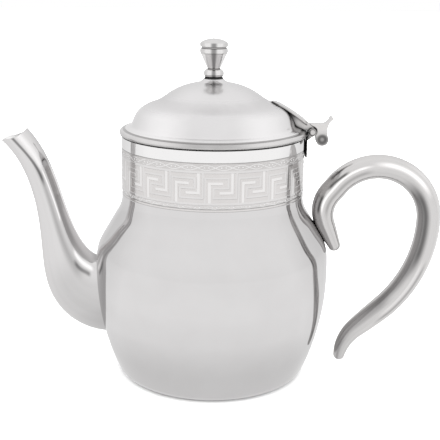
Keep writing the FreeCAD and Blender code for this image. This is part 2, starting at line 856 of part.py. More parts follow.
def make_knob():
    bead_round = cell("knob_bead_round")
    bead_height = cell("knob_bead_height")
    foot = cell("knob_bead_diameter") / 2 - arc_rise(bead_round, bead_height)
    stem = cell("knob_stem_diameter") / 2
    widest = cell("knob_ring_diameter") / 2
    ring = widest - arc_rise(cell("knob_ring_round"), cell("knob_ring_height"))
    groove = widest - cell("knob_groove_depth")
    bevel = cell("knob_edge_break")
    bead_top = knob_level + bead_height
    ring_foot = bead_top + cell("knob_cone_height")
    ring_top = ring_foot + cell("knob_ring_height")
    cap_foot = ring_top + cell("knob_groove_width")
    cap_edge = cap_foot + cell("knob_cap_edge")
    rise = cell("knob_cap_rise")
    hole_end = knob_level + cell("screw_depth")
    corners = [
        (screw_hole_radius, knob_level),
        (foot, knob_level),
        (foot, bead_top),
        (stem, bead_top),
        (ring, ring_foot),
        (ring, ring_top),
        (groove, ring_top),
        (groove, cap_foot),
        (widest - bevel, cap_foot),
        (widest, cap_foot + bevel),
        (widest, cap_edge),
        (NONE, cap_edge + rise),
        (NONE, hole_end),
        (screw_hole_radius, hole_end),
    ]
    cap_round = (widest * widest + rise * rise) / (rise * 2)
    return turned_body("knob", corners, {1: bead_round, 4: cell("knob_ring_round"), 10: cap_round})


def make_ring(name, inside, outside, foot, top):
    return turned_body(name, [(inside, foot), (outside, foot), (outside, top), (inside, top)])


def make_screw():
    """Pan-headed screw, up through washer, lid and gasket into the knob."""
    shank = cell("screw_diameter") / 2
    head = cell("screw_head_diameter") / 2
    head_round = cell("screw_head_round")
    chamfer = cell("screw_tip_chamfer")
    head_foot = washer_foot - cell("screw_head_height")
    tip = knob_level + cell("screw_depth") - cell("screw_tip_gap")
    blank = turned_body("screw_blank", [
        (NONE, head_foot),
        (head - head_round, head_foot),
        (head, head_foot + head_round),
        (head, washer_foot),
        (shank, washer_foot),
        (shank, tip - chamfer),
        (shank - chamfer, tip),
        (NONE, tip),
    ], {1: head_round})
    half_slot = cell("screw_slot_width") / 2
    slot = block("screw_slot", (-head, head), (-half_slot, half_slot),
                 (head_foot - cell("screw_slot_depth"), head_foot + cell("screw_slot_depth")))
    return boolean("Cut", "knob_screw", blank, slot)


# Hinge
def make_hinge_leaf(pot_outer):
    """Leaf on the back of the neck, with two ears that hold the pin."""
    inner = neck_radius + cell("leaf_standoff")
    outer = inner + cell("leaf_sheet")
    foot = mouth - cell("leaf_drop")
    bend = mouth - cell("leaf_bend_drop")
    top = mouth - cell("leaf_top_drop")
    web = top + cell("leaf_shoulder")
    bend_spot = point(outer.value, bend.value)
    top_spot = point(inner.value, top.value)
    web_spot = point(outer.value, web.value)
    radius = eye_radius.value
    bend_lean = math.degrees(math.acos(radius / (bend_spot - hinge).Length))
    web_lean = math.degrees(math.acos(radius / (web_spot - hinge).Length))
    first = angle_of(bend_spot - hinge) + bend_lean
    last = angle_of(web_spot - hinge) - web_lean + 360
    foot_in = point(inner.value, foot.value)
    foot_out = point(outer.value, foot.value)
    pieces = [
        line(foot_in, foot_out),
        line(foot_out, bend_spot),
        line(bend_spot, hinge + direction(first) * radius),
        arc(hinge, radius, first, last),
        line(hinge + direction(last) * radius, web_spot, smooth=True),
        line(web_spot, top_spot),
        line(top_spot, foot_in),
    ]
    body = new_body("leaf_blank")
    sketch = new_sketch(body)
    base, front, lower_web, eye, upper_web, shoulder, back = [
        placed[0] for placed in add_outline(sketch, pieces)]
    horizontal(sketch, base)
    vertical(sketch, front, back)
    bind_across(sketch, base, 1, inner)
    bind_up(sketch, base, 1, foot)
    bind_across(sketch, base, 2, outer)
    bind_up(sketch, front, 2, bend)
    bind_across(sketch, upper_web, 2, outer)
    bind_up(sketch, upper_web, 2, web)
    bind_up(sketch, shoulder, 2, top)
    bind_across(sketch, eye, CENTRE, hinge_across)
    bind_up(sketch, eye, CENTRE, hinge_up)
    bind_radius(sketch, eye, eye_radius)
    pad(body, sketch, hinge_width)
    half_slot = cell("hinge_eye_width") / 2 + cell("hinge_side_clearance")
    slot_top = hinge_up + eye_radius * 2
    slot_end = hinge_across + eye_radius * 2
    front_slot = block("leaf_slot", (outer, slot_end), (-half_slot, half_slot),
                       (bend - eye_radius, slot_top))
    top_slot = block("leaf_top_slot", (neck_radius, slot_end), (-half_slot, half_slot), (web, slot_top))
    half_weld = cell("leaf_weld_wide") / 2
    weld_foot = foot + cell("leaf_sheet")
    weld = block("leaf_weld", (rim_radius, inner), (-half_weld, half_weld),
                 (weld_foot, weld_foot + cell("leaf_weld_tall")))
    slotted = boolean("Cut", "leaf_slotted", boolean("Cut", "leaf_front_cut", body, front_slot), top_slot)
    welded = boolean("Fuse", "leaf_welded", slotted, weld)
    hole = cross_rod("leaf_pin_hole", hinge_across, hinge_up, pin_hole_radius, hinge_width * 2)
    drilled = boolean("Cut", "leaf_drilled", welded, hole)
    return boolean("Cut", "hinge_leaf", drilled, pot_outer)


def make_hinge_pin():
    shank = cell("hinge_pin_diameter") / 2
    head = cell("hinge_pin_head_diameter") / 2
    thick = cell("hinge_pin_head")
    bevel = thick / 2
    ear_end = thick + hinge_width
    pin = turned_body("hinge_pin", [
        (NONE, NONE),
        (head - bevel, NONE),
        (head, bevel),
        (head, thick),
        (shank, thick),
        (shank, ear_end),
        (head, ear_end),
        (head, ear_end + bevel),
        (head - bevel, ear_end + thick),
        (NONE, ear_end + thick),
    ])
    pin.Placement = FreeCAD.Placement(FreeCAD.Vector(), ALONG_Y)
    return move_to(pin, hinge_across, hinge_width / 2 + thick, hinge_up)


# Lid strap
def strap_plan():
    """The strap seen from above: round nose, full width, then narrow between the ears."""
    half = cell("strap_width") / 2
    half_neck = cell("hinge_eye_width") / 2
    nose_round = cell("strap_nose_round")
    tip = bulge_across + strap_radius * cosine(cell("strap_tip_angle"))
    nose = tip + arc_rise(nose_round, cell("strap_width"))
    neck_start = hinge_across - cell("strap_neck_length")
    full_end = neck_start - cell("strap_taper_length")
    end = hinge_across + eye_radius * 2
    body = new_body("strap_plan")
    sketch = new_sketch(body, "XY_Plane")
    corner_outline(sketch, [
        (nose, -half),
        (full_end, -half),
        (neck_start, -half_neck),
        (end, -half_neck),
        (end, half_neck),
        (neck_start, half_neck),
        (full_end, half),
        (nose, half),
    ], {7: nose_round})
    return pad(body, sketch, hinge_up * 2, "One side")


strap_radius = cell("lid_bulge_radius") + cell("strap_sheet") - cell("strap_sink")


def strap_arch():
    """Centre of the strap's arch, and the angles where it runs into the bulge and into the eye."""
    bulge = point(bulge_across.value, bulge_up.value)
    arch_radius = size("strap_arch_radius")
    arch = circles_meet(bulge, arch_radius - strap_radius.value, hinge, arch_radius - eye_radius.value, -1)
    return arch, angle_of(bulge - arch), angle_of(hinge - arch)


def strap_web():
    """Rib under the strap that fills the corner between the lid's bulge, its flange and the eye."""
    arch, join, eye_join = strap_arch()
    inset = cell("strap_sheet") / 4
    join_radius = strap_radius - inset
    eye_end = eye_radius - inset
    join_run = direction(join)
    eye_run = direction(eye_join)
    foot = bead_level + bead_radius / cosine(cell("lid_flange_slope"))
    body = new_body("strap_web")
    sketch = new_sketch(body)
    corner_outline(sketch, [
        (bulge_across, foot),
        (hinge_across, foot),
        (hinge_across + eye_end * eye_run.x, hinge_up + eye_end * eye_run.y),
        (bulge_across + join_radius * join_run.x, bulge_up + join_radius * join_run.y),
    ], {})
    return pad(body, sketch, cell("hinge_eye_width"))


def strap_band():
    """The strap seen from the side: over the bulge, then an arch down to the hinge eye."""
    bulge = point(bulge_across.value, bulge_up.value)
    arch_radius = cell("strap_arch_radius")
    under_arch = arch_radius - cell("strap_sheet")
    top = strap_radius.value
    under = top - size("strap_sheet")
    eye = eye_radius.value
    arch, join, eye_join = strap_arch()
    notch = circles_meet(arch, under_arch.value, hinge, eye, 1)
    notch_angle = angle_of(notch - hinge) - 360
    tip_angle = cell("strap_tip_angle") + math.degrees(size("strap_sheet") / top)
    tip = tip_angle.value
    pieces = [
        line(bulge + direction(tip) * under, bulge + direction(tip) * top),
        arc(bulge, top, tip, join, smooth=False),
        arc(arch, arch_radius.value, join, eye_join),
        arc(hinge, eye, eye_join, notch_angle),
        arc(arch, under_arch.value, angle_of(notch - arch), join, smooth=False),
        arc(bulge, under, join, tip),
    ]
    body = new_body("strap_band")
    sketch = new_sketch(body)
    placed = add_outline(sketch, pieces)
    nose, top_arc, arch_arc, eye_arc, under_arch_arc, under_arc = [item[0] for item in placed]
    bind_across(sketch, top_arc, CENTRE, bulge_across)
    bind_up(sketch, top_arc, CENTRE, bulge_up)
    bind_radius(sketch, top_arc, strap_radius)
    bind_radius(sketch, arch_arc, arch_radius)
    bind_across(sketch, eye_arc, CENTRE, hinge_across)
    bind_up(sketch, eye_arc, CENTRE, hinge_up)
    bind_radius(sketch, eye_arc, eye_radius)
    bind_radius(sketch, under_arch_arc, under_arch)
    for upper, lower in ((arch_arc, under_arch_arc), (top_arc, under_arc)):
        sketch.addConstraint(Sketcher.Constraint("Coincident", upper, CENTRE, lower, CENTRE))
    bind_across(sketch, nose, 1, bulge_across + (strap_radius - cell("strap_sheet")) * cosine(tip_angle))
    bind_across(sketch, nose, 2, bulge_across + strap_radius * cosine(tip_angle))
    return pad(body, sketch, cell("strap_width"))


def strap_blank():
    """The strap with its eye still undrilled."""
    trimmed = boolean("Common", "strap_trimmed", strap_band(), strap_plan())
    knuckle = cross_rod("strap_knuckle", hinge_across, hinge_up, eye_radius, cell("hinge_eye_width"))
    ribbed = boolean("Fuse", "strap_ribbed", trimmed, strap_web())
    return boolean("Fuse", "strap_blank", ribbed, knuckle)


def make_lid_strap(blank, lid_outer):
    hole = cross_rod("strap_pin_hole", hinge_across, hinge_up, pin_hole_radius, hinge_width)
    drilled = boolean("Cut", "strap_drilled", blank, hole)
    return boolean("Cut", "lid_strap", drilled, lid_outer)


# Thumb scroll
def make_thumb_scroll(blank):
    """Cast thumb rest behind the hinge eye: a flat top, a horn and a volute below."""
    scroll_across = hinge_across + cell("scroll_reach")
    scroll_up = hinge_up - cell("scroll_drop")
    scroll_radius = cell("scroll_diameter") / 2
    horn_across = hinge_across + cell("horn_reach")
    horn_up = hinge_up + cell("horn_level")
    horn_radius = cell("horn_tip_diameter") / 2
    hollow_radius = cell("horn_hollow_radius")
    rest = hinge_up + cell("thumb_level")
    scroll = point(scroll_across.value, scroll_up.value)
    horn = point(horn_across.value, horn_up.value)
    hollow_up = rest.value + hollow_radius.value
    span = hollow_radius.value + horn_radius.value
    hollow = point(horn.x - math.sqrt(span ** 2 - (hollow_up - horn.y) ** 2), hollow_up)
    back_radius = cell("horn_back_radius")
    back = circles_meet(horn, back_radius.value + horn_radius.value,
                        scroll, back_radius.value + scroll_radius.value, 1)
    rest_start = hinge_across - eye_radius / 2
    throat = hinge_across + eye_radius / 2
    crease_angle = cell("scroll_crease_angle")
    crease = crease_angle.value - 360
    pieces = [
        line(point(rest_start.value, rest.value), point(hollow.x, rest.value)),
        arc(hollow, hollow_radius.value, -90, angle_of(horn - hollow)),
        arc(horn, horn_radius.value, angle_of(hollow - horn), angle_of(back - horn)),
        arc(back, back_radius.value, angle_of(horn - back) % 360, angle_of(scroll - back) % 360),
        arc(scroll, scroll_radius.value, angle_of(back - scroll), crease),
        line(scroll + direction(crease) * scroll_radius.value, point(throat.value, hinge.y)),
        line(point(throat.value, hinge.y), point(rest_start.value, rest.value)),
    ]
    body = new_body("scroll_casting")
    sketch = new_sketch(body)
    numbers = [placed[0] for placed in add_outline(sketch, pieces)]
    flat, hollow_arc, horn_arc, back_arc, scroll_arc, crease_line, inner_line = numbers
    horizontal(sketch, flat)
    bind_across(sketch, flat, 1, rest_start)
    bind_up(sketch, flat, 1, rest)
    bind_radius(sketch, hollow_arc, hollow_radius)
    bind_across(sketch, horn_arc, CENTRE, horn_across)
    bind_up(sketch, horn_arc, CENTRE, horn_up)
    bind_radius(sketch, horn_arc, horn_radius)
    bind_radius(sketch, back_arc, back_radius)
    bind_across(sketch, scroll_arc, CENTRE, scroll_across)
    bind_up(sketch, scroll_arc, CENTRE, scroll_up)
    bind_radius(sketch, scroll_arc, scroll_radius)
    bind_up(sketch, crease_line, 1, scroll_up + scroll_radius * sine(crease_angle))
    bind_across(sketch, inner_line, 1, throat)
    bind_up(sketch, inner_line, 1, hinge_up)
    pad(body, sketch, cell("hinge_eye_width"))
    casting = boolean("Cut", "scroll_seated", body, blank)
    dimple_radius = cell("scroll_dimple_radius")
    offset = cell("hinge_eye_width") / 2 + dimple_radius - cell("scroll_dimple_depth")
    for side, name in ((-offset, "scroll_front"), (offset, "thumb_scroll")):
        ball = doc.addObject("Part::Sphere", f"{name}_dimple")
        ball.setExpression("Radius", dimple_radius.text)
        move_to(ball, scroll_across, side, scroll_up)
        casting = boolean("Cut", name, casting, ball)
    return casting


pot_outer = pot_solid("pot_outside", NONE, mouth)
pot_inner = pot_solid("pot_inside", cell("pot_wall"), mouth + cell("pot_wall"))
lid_outer = lid_solid("lid_outside", NONE, bead_level, hollow=False)
strap = strap_blank()
nodes = [
    make_body_shell(pot_outer, pot_inner),
    make_strainer(pot_inner),
    make_spout(pot_outer),
    make_handle(pot_outer),
    make_hinge_leaf(pot_outer),
    make_hinge_pin(),
    make_lid_shell(lid_outer),
    make_lid_skirt(),
    make_lid_strap(strap, lid_outer),
    make_thumb_scroll(strap),
    make_knob(),
    make_ring("knob_gasket", screw_hole_radius, cell("gasket_diameter") / 2, boss_level, knob_level),
    make_screw(),
    make_ring("knob_screw_washer", screw_hole_radius, cell("washer_diameter") / 2, washer_foot, seat_level),
]
doc.recompute()


def check(objects):
    """Stops if any object failed or any sub-part is not one valid solid."""
    failed = [item.Name for item in doc.Objects if "Invalid" in item.State or "Error" in item.State]
    if failed:
        raise RuntimeError(f"failed objects: {failed}")
    for node in objects:
        if node.Shape.isNull() or not node.Shape.isValid() or len(node.Shape.Solids) != 1:
            raise RuntimeError(f"bad shape: {node.Label}, {len(node.Shape.Solids)} solids")


check(nodes)
os.makedirs("parts", exist_ok=True)
for node in nodes:
    node.Shape.exportStep(f"parts/{node.Label}.step")
    print(node.Label, round(node.Shape.Volume / 1000, 2), "cm3")
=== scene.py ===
from math import asin, atan2, ceil, cos, degrees, hypot, pi, radians, sin, sqrt, tan
from types import SimpleNamespace as Values

import bmesh
import bpy
from mathutils import Matrix, Vector


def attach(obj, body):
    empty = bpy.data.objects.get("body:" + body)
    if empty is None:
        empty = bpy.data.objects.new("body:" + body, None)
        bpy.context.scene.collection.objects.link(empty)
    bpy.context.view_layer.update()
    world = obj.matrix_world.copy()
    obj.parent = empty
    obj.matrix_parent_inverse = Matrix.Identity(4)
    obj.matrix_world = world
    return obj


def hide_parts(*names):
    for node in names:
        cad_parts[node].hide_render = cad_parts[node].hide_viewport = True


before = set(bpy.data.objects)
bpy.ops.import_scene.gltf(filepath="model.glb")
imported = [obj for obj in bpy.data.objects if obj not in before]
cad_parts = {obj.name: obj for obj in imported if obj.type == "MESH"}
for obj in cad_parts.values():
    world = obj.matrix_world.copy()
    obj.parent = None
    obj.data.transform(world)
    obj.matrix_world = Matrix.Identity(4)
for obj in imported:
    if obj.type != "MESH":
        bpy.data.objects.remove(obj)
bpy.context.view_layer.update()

# Sizes are in millimetres and degrees, as in the solids; meshes are written in metres
MM = 0.001

POT = Values(
    mouth=132.6, belly=63.4, belly_height=58.0, wall_radius=133.0, corner=8.0, shoulder=18.0, slope=30.0,
    neck=49.0, neck_foot=98.7, fillet=10.0, sheet=0.8, easing=600)

# The mouth's hollow is placed in shares of the tip's radius, the port's cut in shares of the belly's, and
# the searches for both ends run in shares of the length
SPOUT = Values(
    root_level=43.8, root_inset=8.4, root_pull=39.3, root_tall=46.6, root_wide=28.0, tip_reach=106.8,
    tip_level=132.0, tip_pull=41.2, tip_angle=44.9, tip_diameter=14.6, taper=2.7, wall=0.9, sink=0.15,
    mouth_slope=29.4, dip=2.0, dip_place=0.35, dip_half=0.95, port_wide=15.0, port_tall=30.0,
    port_cut=(1.1, 0.5), root_search=(0.0, 0.5), mouth_search=(0.6, 1.12), rows=90)

HANDLE = Values(
    diameter=13.2, curl_diameter=7.0, curl_taper=34.0, tail_diameter=6.6, tail_taper=44.0, seat_drop=11.3,
    sink=0.5, curl_length=16.0, curl_lean=5.5, crook_radius=12.0, crook_turn=64.0, crook_soft=3.0, rise=8.6,
    top_radius=28.5, back_radius=70.0, back_turn=49.0, sweep=17.0, tail_radius=26.0, tail_turn=41.0)

LID = Values(
    sheet=0.8, gap=0.3, bead=1.4, slope=24.0, foot=2.0, bulge=16.7, bulge_inset=21.4, bulge_level=1.0,
    waist=8.0, dome=46.0, crown=28.7, boss=5.4, boss_height=1.1, flare=6.0, seat=5.3, hole=2.1, valley=0.25,
    valley_place=3.3, valley_half=1.2, valley_seam=0.6, easing=1500)

KNOB = Values(
    gasket=0.6, bead=5.45, bead_height=4.4, bead_round=2.4, stem=3.3, cone=8.2, ring=7.45, ring_height=2.7,
    ring_round=2.6, groove_width=0.9, groove_depth=0.8, groove_lip=0.1, cap_edge=2.0, cap_rise=2.2,
    hole_depth=8.0, soft_edge=0.3, waist_seam=0.5)

# The band repeats a unit of broad hooks and thin lines; chains give level, half height and phase
BAND = Values(
    units=18, start=-21.4, foot=101.9, top=126.6, rings=(101.9, 103.3, 126.6), groove=0.5, groove_depth=0.2,
    depth=0.13, wall=0.16, rails=((105.4, 106.5), (121.5, 122.6)), hook=1.3, line=0.85, hook_reach=6.6,
    hook_level=116.4, middle=114.0, outer=2.2, outer_level=119.0, turn_back=9.6, hook_shift=11.55,
    chains=((104.35, 0.8, 1.6), (124.4, 1.2, 6.9)), lenses=36, wire=0.19, wire_steps=12, dot=0.45,
    dot_height=0.225, dot_lifts=(0, 35, 65), dot_gap=1.3)

# Longest steps of the meshes, degrees between points of round ends, faces around each piece, and how near
# counts as touching
STEP = Values(
    outside=0.9, inside=2.0, base=3.0, straight=1.5, neck_inside=4.0, unit=1.3, bead=0.3, lid_edge=0.4,
    knob=0.25, cone=0.6, cap=0.4)
ROUND_STEP = 10
AROUND = Values(lid=256, knob=128, spout=96, handle=64, wire=6, dot=10)
TOUCH = 0.01

# Painted reflections on spout and handle: each streak has its places across at both ends, from the inner
# side at -1 to the outer at 1, its half width, the shares of the length where it starts and ends, the share
# it fades over, and its change of tone
SPOUT_PAINTED_REFLECTIONS = (
    ((-0.34, -0.2), 0.26, 0.25, 0.8, 0.12, -0.3),
    ((-0.22, 0.08), 0.17, 0.78, 0.99, 0.06, -0.7),
    ((-0.42, -0.36), 0.36, 0.84, 1.0, 0.06, 0.4),
    ((-0.52, -0.45), 0.07, 0.54, 0.78, 0.03, 0.5),
    ((-0.68, -0.68), 0.22, 0.36, 0.8, 0.1, -0.2),
    ((-0.95, -0.95), 0.2, 0.1, 0.7, 0.1, 0.5),
    ((0.3, 0.3), 0.9, 0.0, 0.2, 0.2, -0.16),
    ((-0.47, -0.4), 0.1, 0.12, 0.25, 0.05, -0.6),
    ((-0.64, -0.58), 0.1, 0.1, 0.28, 0.06, 0.5),
)
HANDLE_PAINTED_REFLECTIONS = (
    ((0.5, 0.42), 0.17, 0.175, 0.215, 0.02, -0.8),
    ((0.5, 0.5), 0.16, 0.11, 0.135, 0.015, -0.75),
    ((0.24, 0.24), 0.16, 0.12, 0.26, 0.04, 0.7),
    ((-0.2, -0.2), 0.25, 0.12, 0.26, 0.04, -0.3),
    ((0.35, 0.35), 0.3, 0.34, 0.42, 0.06, 0.75),
    ((-0.42, -0.42), 0.5, 0.47, 0.62, 0.1, -0.75),
    ((-0.6, -0.7), 0.36, 0.7, 0.8, 0.1, -0.45),
    ((0.12, 0.12), 0.2, 0.68, 0.8, 0.05, 0.2),
    ((0.42, 0.42), 0.2, 0.68, 0.82, 0.05, -0.35),
    ((-0.45, -0.45), 0.45, 0.82, 1.0, 0.06, -0.3),
    ((0.9, 0.9), 0.35, 0.43, 0.65, 0.08, 0.25),
)

# Painted reflections on the knob, painted shading on the thumb scroll, painted highlights and extra dullness
# on the lid from place to place, and the darkest painted shade of nooks shut in by other steel
KNOB_PAINTED_REFLECTIONS = Values(
    streaks=7, ridge=0.2, depth=0.4, front_depth=0.24, cap=0.85, cap_level=180.8, top_level=181.6,
    cone_foot=167.4, cone_top=175.8, blend=0.6, cone_gain=0.22, rest=0.78)
SCROLL_PAINTED_SHADING = Values(
    across=58.1, up=131.0, ring=(3.6, 2.0), ring_tone=0.3, core=(1.5, 0.4), core_gain=0.4, rise=6.0,
    rise_tones=(0.72, 1.05))
LID_TONES = Values(
    waist=150.5, waist_half=(4.0, 1.0), waist_dull=0.35, crown=(154.0, 158.0), crown_dull=0.08,
    side=(8.0, 24.0), side_top=18.0, side_foot=12.0)
DARKEST_PAINTED_SHADE = 0.02

# Where the middle range of a noise pattern starts and ends
MIDDLE = (0.3, 0.7)

# Stage, with places in metres: the tent's grey by the angle from the front, its light and its tone overhead,
# the floor's tones by distance, with a painted shadow near the pot in reflections, and the ray depths past
# which steel shows itself
TENT = Values(
    tones=((-180, 0.62), (-145, 0.6), (-85, 0.8), (0, 0.8), (85, 0.8), (145, 0.6), (180, 0.62)), light=1.37,
    inner_share=0.76, depth=2.5, ceiling=0.82, ceiling_start=4, ceiling_end=60)
FLOOR = Values(size=8, grey=0.9, rough=0.9, tones=((0.065, 0.78), (0.1, 0.96), (0.16, 1.02)), depth=1.5)
SKY = Values(energy=6.0, spread=120)
CAMERA = Values(sensor=36, lens=80.42, eye=(0.0042, -0.5201, 0.2232), aim=(0.0042, 0.0, 0.08525), roll=0.7)


# Mesh helpers
def at(across, up):
    """A point or direction in a half section, or in the plane through spout and handle."""
    return Vector((across, up))


def unit(angle):
    return at(cos(radians(angle)), sin(radians(angle)))


def angle_of(vector):
    return degrees(atan2(vector.y, vector.x))


def arc(centre, radius, start, end, chord=STEP.outside, widest=5):
    """Points along an arc in a half section, from one angle to another."""
    turn = radians(abs(end - start))
    steps = max(3, ceil(turn * radius / chord), ceil(turn / radians(widest)))
    return [centre + unit(start + (end - start) * k / steps) * radius for k in range(steps + 1)]


def run(start, end, chord=STEP.straight):
    """Points along a straight stretch."""
    steps = max(1, ceil((end - start).length / chord))
    return [start.lerp(end, k / steps) for k in range(steps + 1)]


def joined(*stretches, same=1e-4):
    """One outline from stretches that follow each other, with shared ends kept once."""
    points = []
    for stretch in stretches:
        for point in stretch:
            if not points or (point - points[-1]).length > same:
                points.append(point)
    return points


def eased(points, rounds, pull=0.5, push=-0.51):
    """The same line with its bends eased into each other, ends kept and hardly shrunk."""
    for step in range(rounds):
        for weight in (pull, push):
            inner = [spot + ((before + after) / 2 - spot) * weight
                     for before, spot, after in zip(points, points[1:], points[2:])]
            points = [points[0]] + inner + [points[-1]]
    return points


def circles_meet(centre_a, radius_a, centre_b, radius_b, side):
    gap = centre_b - centre_a
    along = (gap.length ** 2 + radius_a ** 2 - radius_b ** 2) / (2 * gap.length)
    across = sqrt(radius_a ** 2 - along ** 2)
    way = gap.normalized()
    return centre_a + way * along + at(-way.y, way.x) * (side * across)


def even_columns(count):
    return [360 * k / count for k in range(count)]


def circle(count):
    """Cosine and sine of even turns."""
    angles = [2 * pi * n / count for n in range(count)]
    return [(cos(angle), sin(angle)) for angle in angles]


def link(name, data):
    """A new object of the scene with the given data."""
    thing = bpy.data.objects.new(name, data)
    bpy.context.scene.collection.objects.link(thing)
    return thing


def new_mesh(name, vertices, faces):
    """A mesh from vertices in millimetres."""
    mesh = bpy.data.meshes.new(name)
    mesh.from_pydata([Vector(vertex) * MM for vertex in vertices], [], faces)
    return mesh


def add_piece(name, body, nodes, materials, vertices, faces, finish=(), *, crease, streak=()):
    """A piece of the object from vertices in millimetres, riding on a body.

    Finish gives each face one of the materials. Streak gives each vertex a place around and along the
    piece, for marks that follow its length."""
    mesh = new_mesh(name, vertices, faces)
    for material in materials:
        mesh.materials.append(material)
    if finish:
        numbers = {material.name: number for number, material in enumerate(materials)}
        mesh.polygons.foreach_set("material_index", [numbers[material.name] for material in finish])
    piece = link(name, mesh)
    tidy_normals(mesh, crease)
    if streak:
        marks = mesh.attributes.new("streak", "FLOAT_VECTOR", "POINT")
        marks.data.foreach_set("vector", [number for spot in streak for number in spot])
    return place(piece, body, "polished_steel", nodes)


def place(piece, body, slot, nodes):
    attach(piece, body)
    if nodes:
        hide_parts(*nodes)
    return piece


def tidy_normals(mesh, crease=30):
    """Faces outwards, smooth apart from edges sharper than the crease angle."""
    work = bmesh.new()
    work.from_mesh(mesh)
    bmesh.ops.recalc_face_normals(work, faces=work.faces)
    work.to_mesh(mesh)
    work.free()
    mesh.shade_smooth()
    mesh.set_sharp_from_angle(angle=radians(crease))


def lathe(outline, columns, finish, recess=None, coarse=None):
    """Vertices, faces and finishes of a turned shape; columns are angles from the front, to the right.

    Rows that are coarse use every second column."""
    vertices = []
    rows = []
    for j, point in enumerate(outline):
        step = 2 if coarse and coarse(j) else 1
        if on_axis(point):
            rows.append((step, [len(vertices)] * (len(columns) // step)))
            vertices.append((0, 0, point.y))
            continue
        rows.append((step, list(range(len(vertices), len(vertices) + len(columns) // step))))
        for i in range(0, len(columns), step):
            radius = point.x - (recess(i, j) if recess else 0)
            angle = radians(columns[i])
            vertices.append((radius * sin(angle), -radius * cos(angle), point.y))
    faces = []
    finishes = []
    last = len(rows) - 1 if on_axis(outline[0]) or on_axis(outline[-1]) else len(rows)
    for j in range(last):
        low_step, low = rows[j]
        high_step, high = rows[(j + 1) % len(rows)]
        step = max(low_step, high_step)
        for i in range(0, len(columns), step):
            under = [low[(i + k) // low_step % len(low)] for k in range(0, step + 1, low_step)]
            over = [high[(i + k) // high_step % len(high)] for k in range(0, step + 1, high_step)]
            faces.append(list(dict.fromkeys(under + over[::-1])))
            finishes.append(finish(i, j))
    return vertices, faces, finishes


def on_axis(point):
    return point.x < 1e-6


def ring_faces(low, high, around):
    """Faces between two rings, given by their first vertices."""
    faces = []
    for n in range(around):
        after = (n + 1) % around
        faces.append((low + n, low + after, high + after, high + n))
    return faces


def grid_faces(rows, around):
    """Faces between rings of equal length."""
    return [face for j in range(rows - 1) for face in ring_faces(j * around, (j + 1) * around, around)]


# Materials
class Graph:
    """Short forms for the nodes of one material or world."""

    def __init__(self, owner):
        owner.use_nodes = True
        self.nodes = owner.node_tree.nodes
        self.links = owner.node_tree.links

    def fill(self, node, inputs):
        """Links a node's inputs, by name or number, to outputs or sets them to plain values."""
        for key, value in inputs.items():
            if isinstance(value, bpy.types.NodeSocket):
                self.links.new(value, node.inputs[key])
            else:
                node.inputs[key].default_value = value
        return node

    def add(self, kind, inputs=None, **settings):
        node = self.nodes.new("ShaderNode" + kind)
        for name, value in settings.items():
            setattr(node, name, value)
        return self.fill(node, inputs or {})

    def calc(self, operation, *values):
        return self.add("Math", dict(enumerate(values)), operation=operation).outputs[0]

    def scale(self, value, start, end, low=0.0, high=1.0, way="SMOOTHSTEP"):
        """A change from low to high while a value goes from start to end."""
        inputs = {"Value": value, "From Min": start, "From Max": end, "To Min": low, "To Max": high}
        return self.add("MapRange", inputs, interpolation_type=way).outputs["Result"]

    def scale_mm(self, value, start, end, low=0.0, high=1.0):
        """The same for a value in metres, with start and end in millimetres."""
        return self.scale(value, start * MM, end * MM, low, high)

    def axes(self, vector):
        return tuple(self.add("SeparateXYZ", {"Vector": vector}).outputs)

    def azimuth(self, vector):
        """The angle from the front to the right, in radians."""
        x, y, _ = self.axes(vector)
        return self.calc("ARCTAN2", x, self.calc("MULTIPLY", y, -1.0))

    def spot(self):
        """The place on the object, in metres."""
        return self.add("TexCoord").outputs["Object"]

    def streak(self):
        """The place around and along a piece."""
        return self.add("Attribute", attribute_name="streak").outputs["Vector"]

    def noise(self, spot, stretch, detail):
        """A noise pattern, stretched by the scale of each axis."""
        mapping = self.add("Mapping", {"Vector": spot, "Scale": stretch})
        inputs = {"Vector": mapping.outputs["Vector"], "Scale": 1.0, "Detail": detail}
        return self.add("TexNoise", inputs).outputs["Fac"]

    def ramp(self, value, places, colours):
        """A colour that follows a value through colours at places from 0 to 1."""
        node = self.add("ValToRGB", {"Fac": value})
        elements = node.color_ramp.elements
        while len(elements) < len(places):
            elements.new(0.5)
        for element, position, colour in zip(elements, places, colours):
            element.position = position
            element.color = (*colour, 1)
        return node.outputs["Color"]

    def grey_ramp(self, value, places, greys):
        return self.ramp(value, places, [(grey, grey, grey) for grey in greys])

    def tinted(self, colour, factor):
        """A colour made lighter or darker by a factor."""
        return self.add("VectorMath", {0: colour, "Scale": factor}, operation="SCALE").outputs["Vector"]

    def bump(self, height, strength, depth=0.1):
        """A normal that follows a pattern in relief, with its depth in millimetres."""
        inputs = {"Strength": strength, "Distance": depth * MM, "Height": height}
        return self.add("Bump", inputs).outputs["Normal"]


def new_material(name):
    material = bpy.data.materials.new(name)
    graph = Graph(material)
    return material, graph, graph.nodes["Principled BSDF"]


def steel(name, dark, bright, rough, grain, bump, clouds=(60, 60, 60), lengthwise=False, shade=None,
          dull=None):
    """Stainless steel: clouded colour, polishing marks in the roughness and a faint bump.

    Grain and clouds are the scales of marks and colour along the axes, or around and along the piece if
    lengthwise. Shade may return a factor on the colour from place to place, dull an extra roughness."""
    material, graph, shader = new_material(name)
    spot = graph.streak() if lengthwise else graph.spot()
    colour = graph.ramp(graph.noise(spot, clouds, detail=3), MIDDLE, (dark, bright))
    marks = graph.noise(spot, grain, detail=4)
    roughness = graph.scale(marks, *MIDDLE, *rough, way="LINEAR")
    if shade:
        colour = graph.tinted(colour, shade(graph))
    if dull:
        roughness = graph.calc("ADD", roughness, dull(graph))
    graph.fill(shader, {"Metallic": 1.0, "Base Color": colour, "Roughness": roughness,
                        "Normal": graph.bump(marks, bump)})
    return material


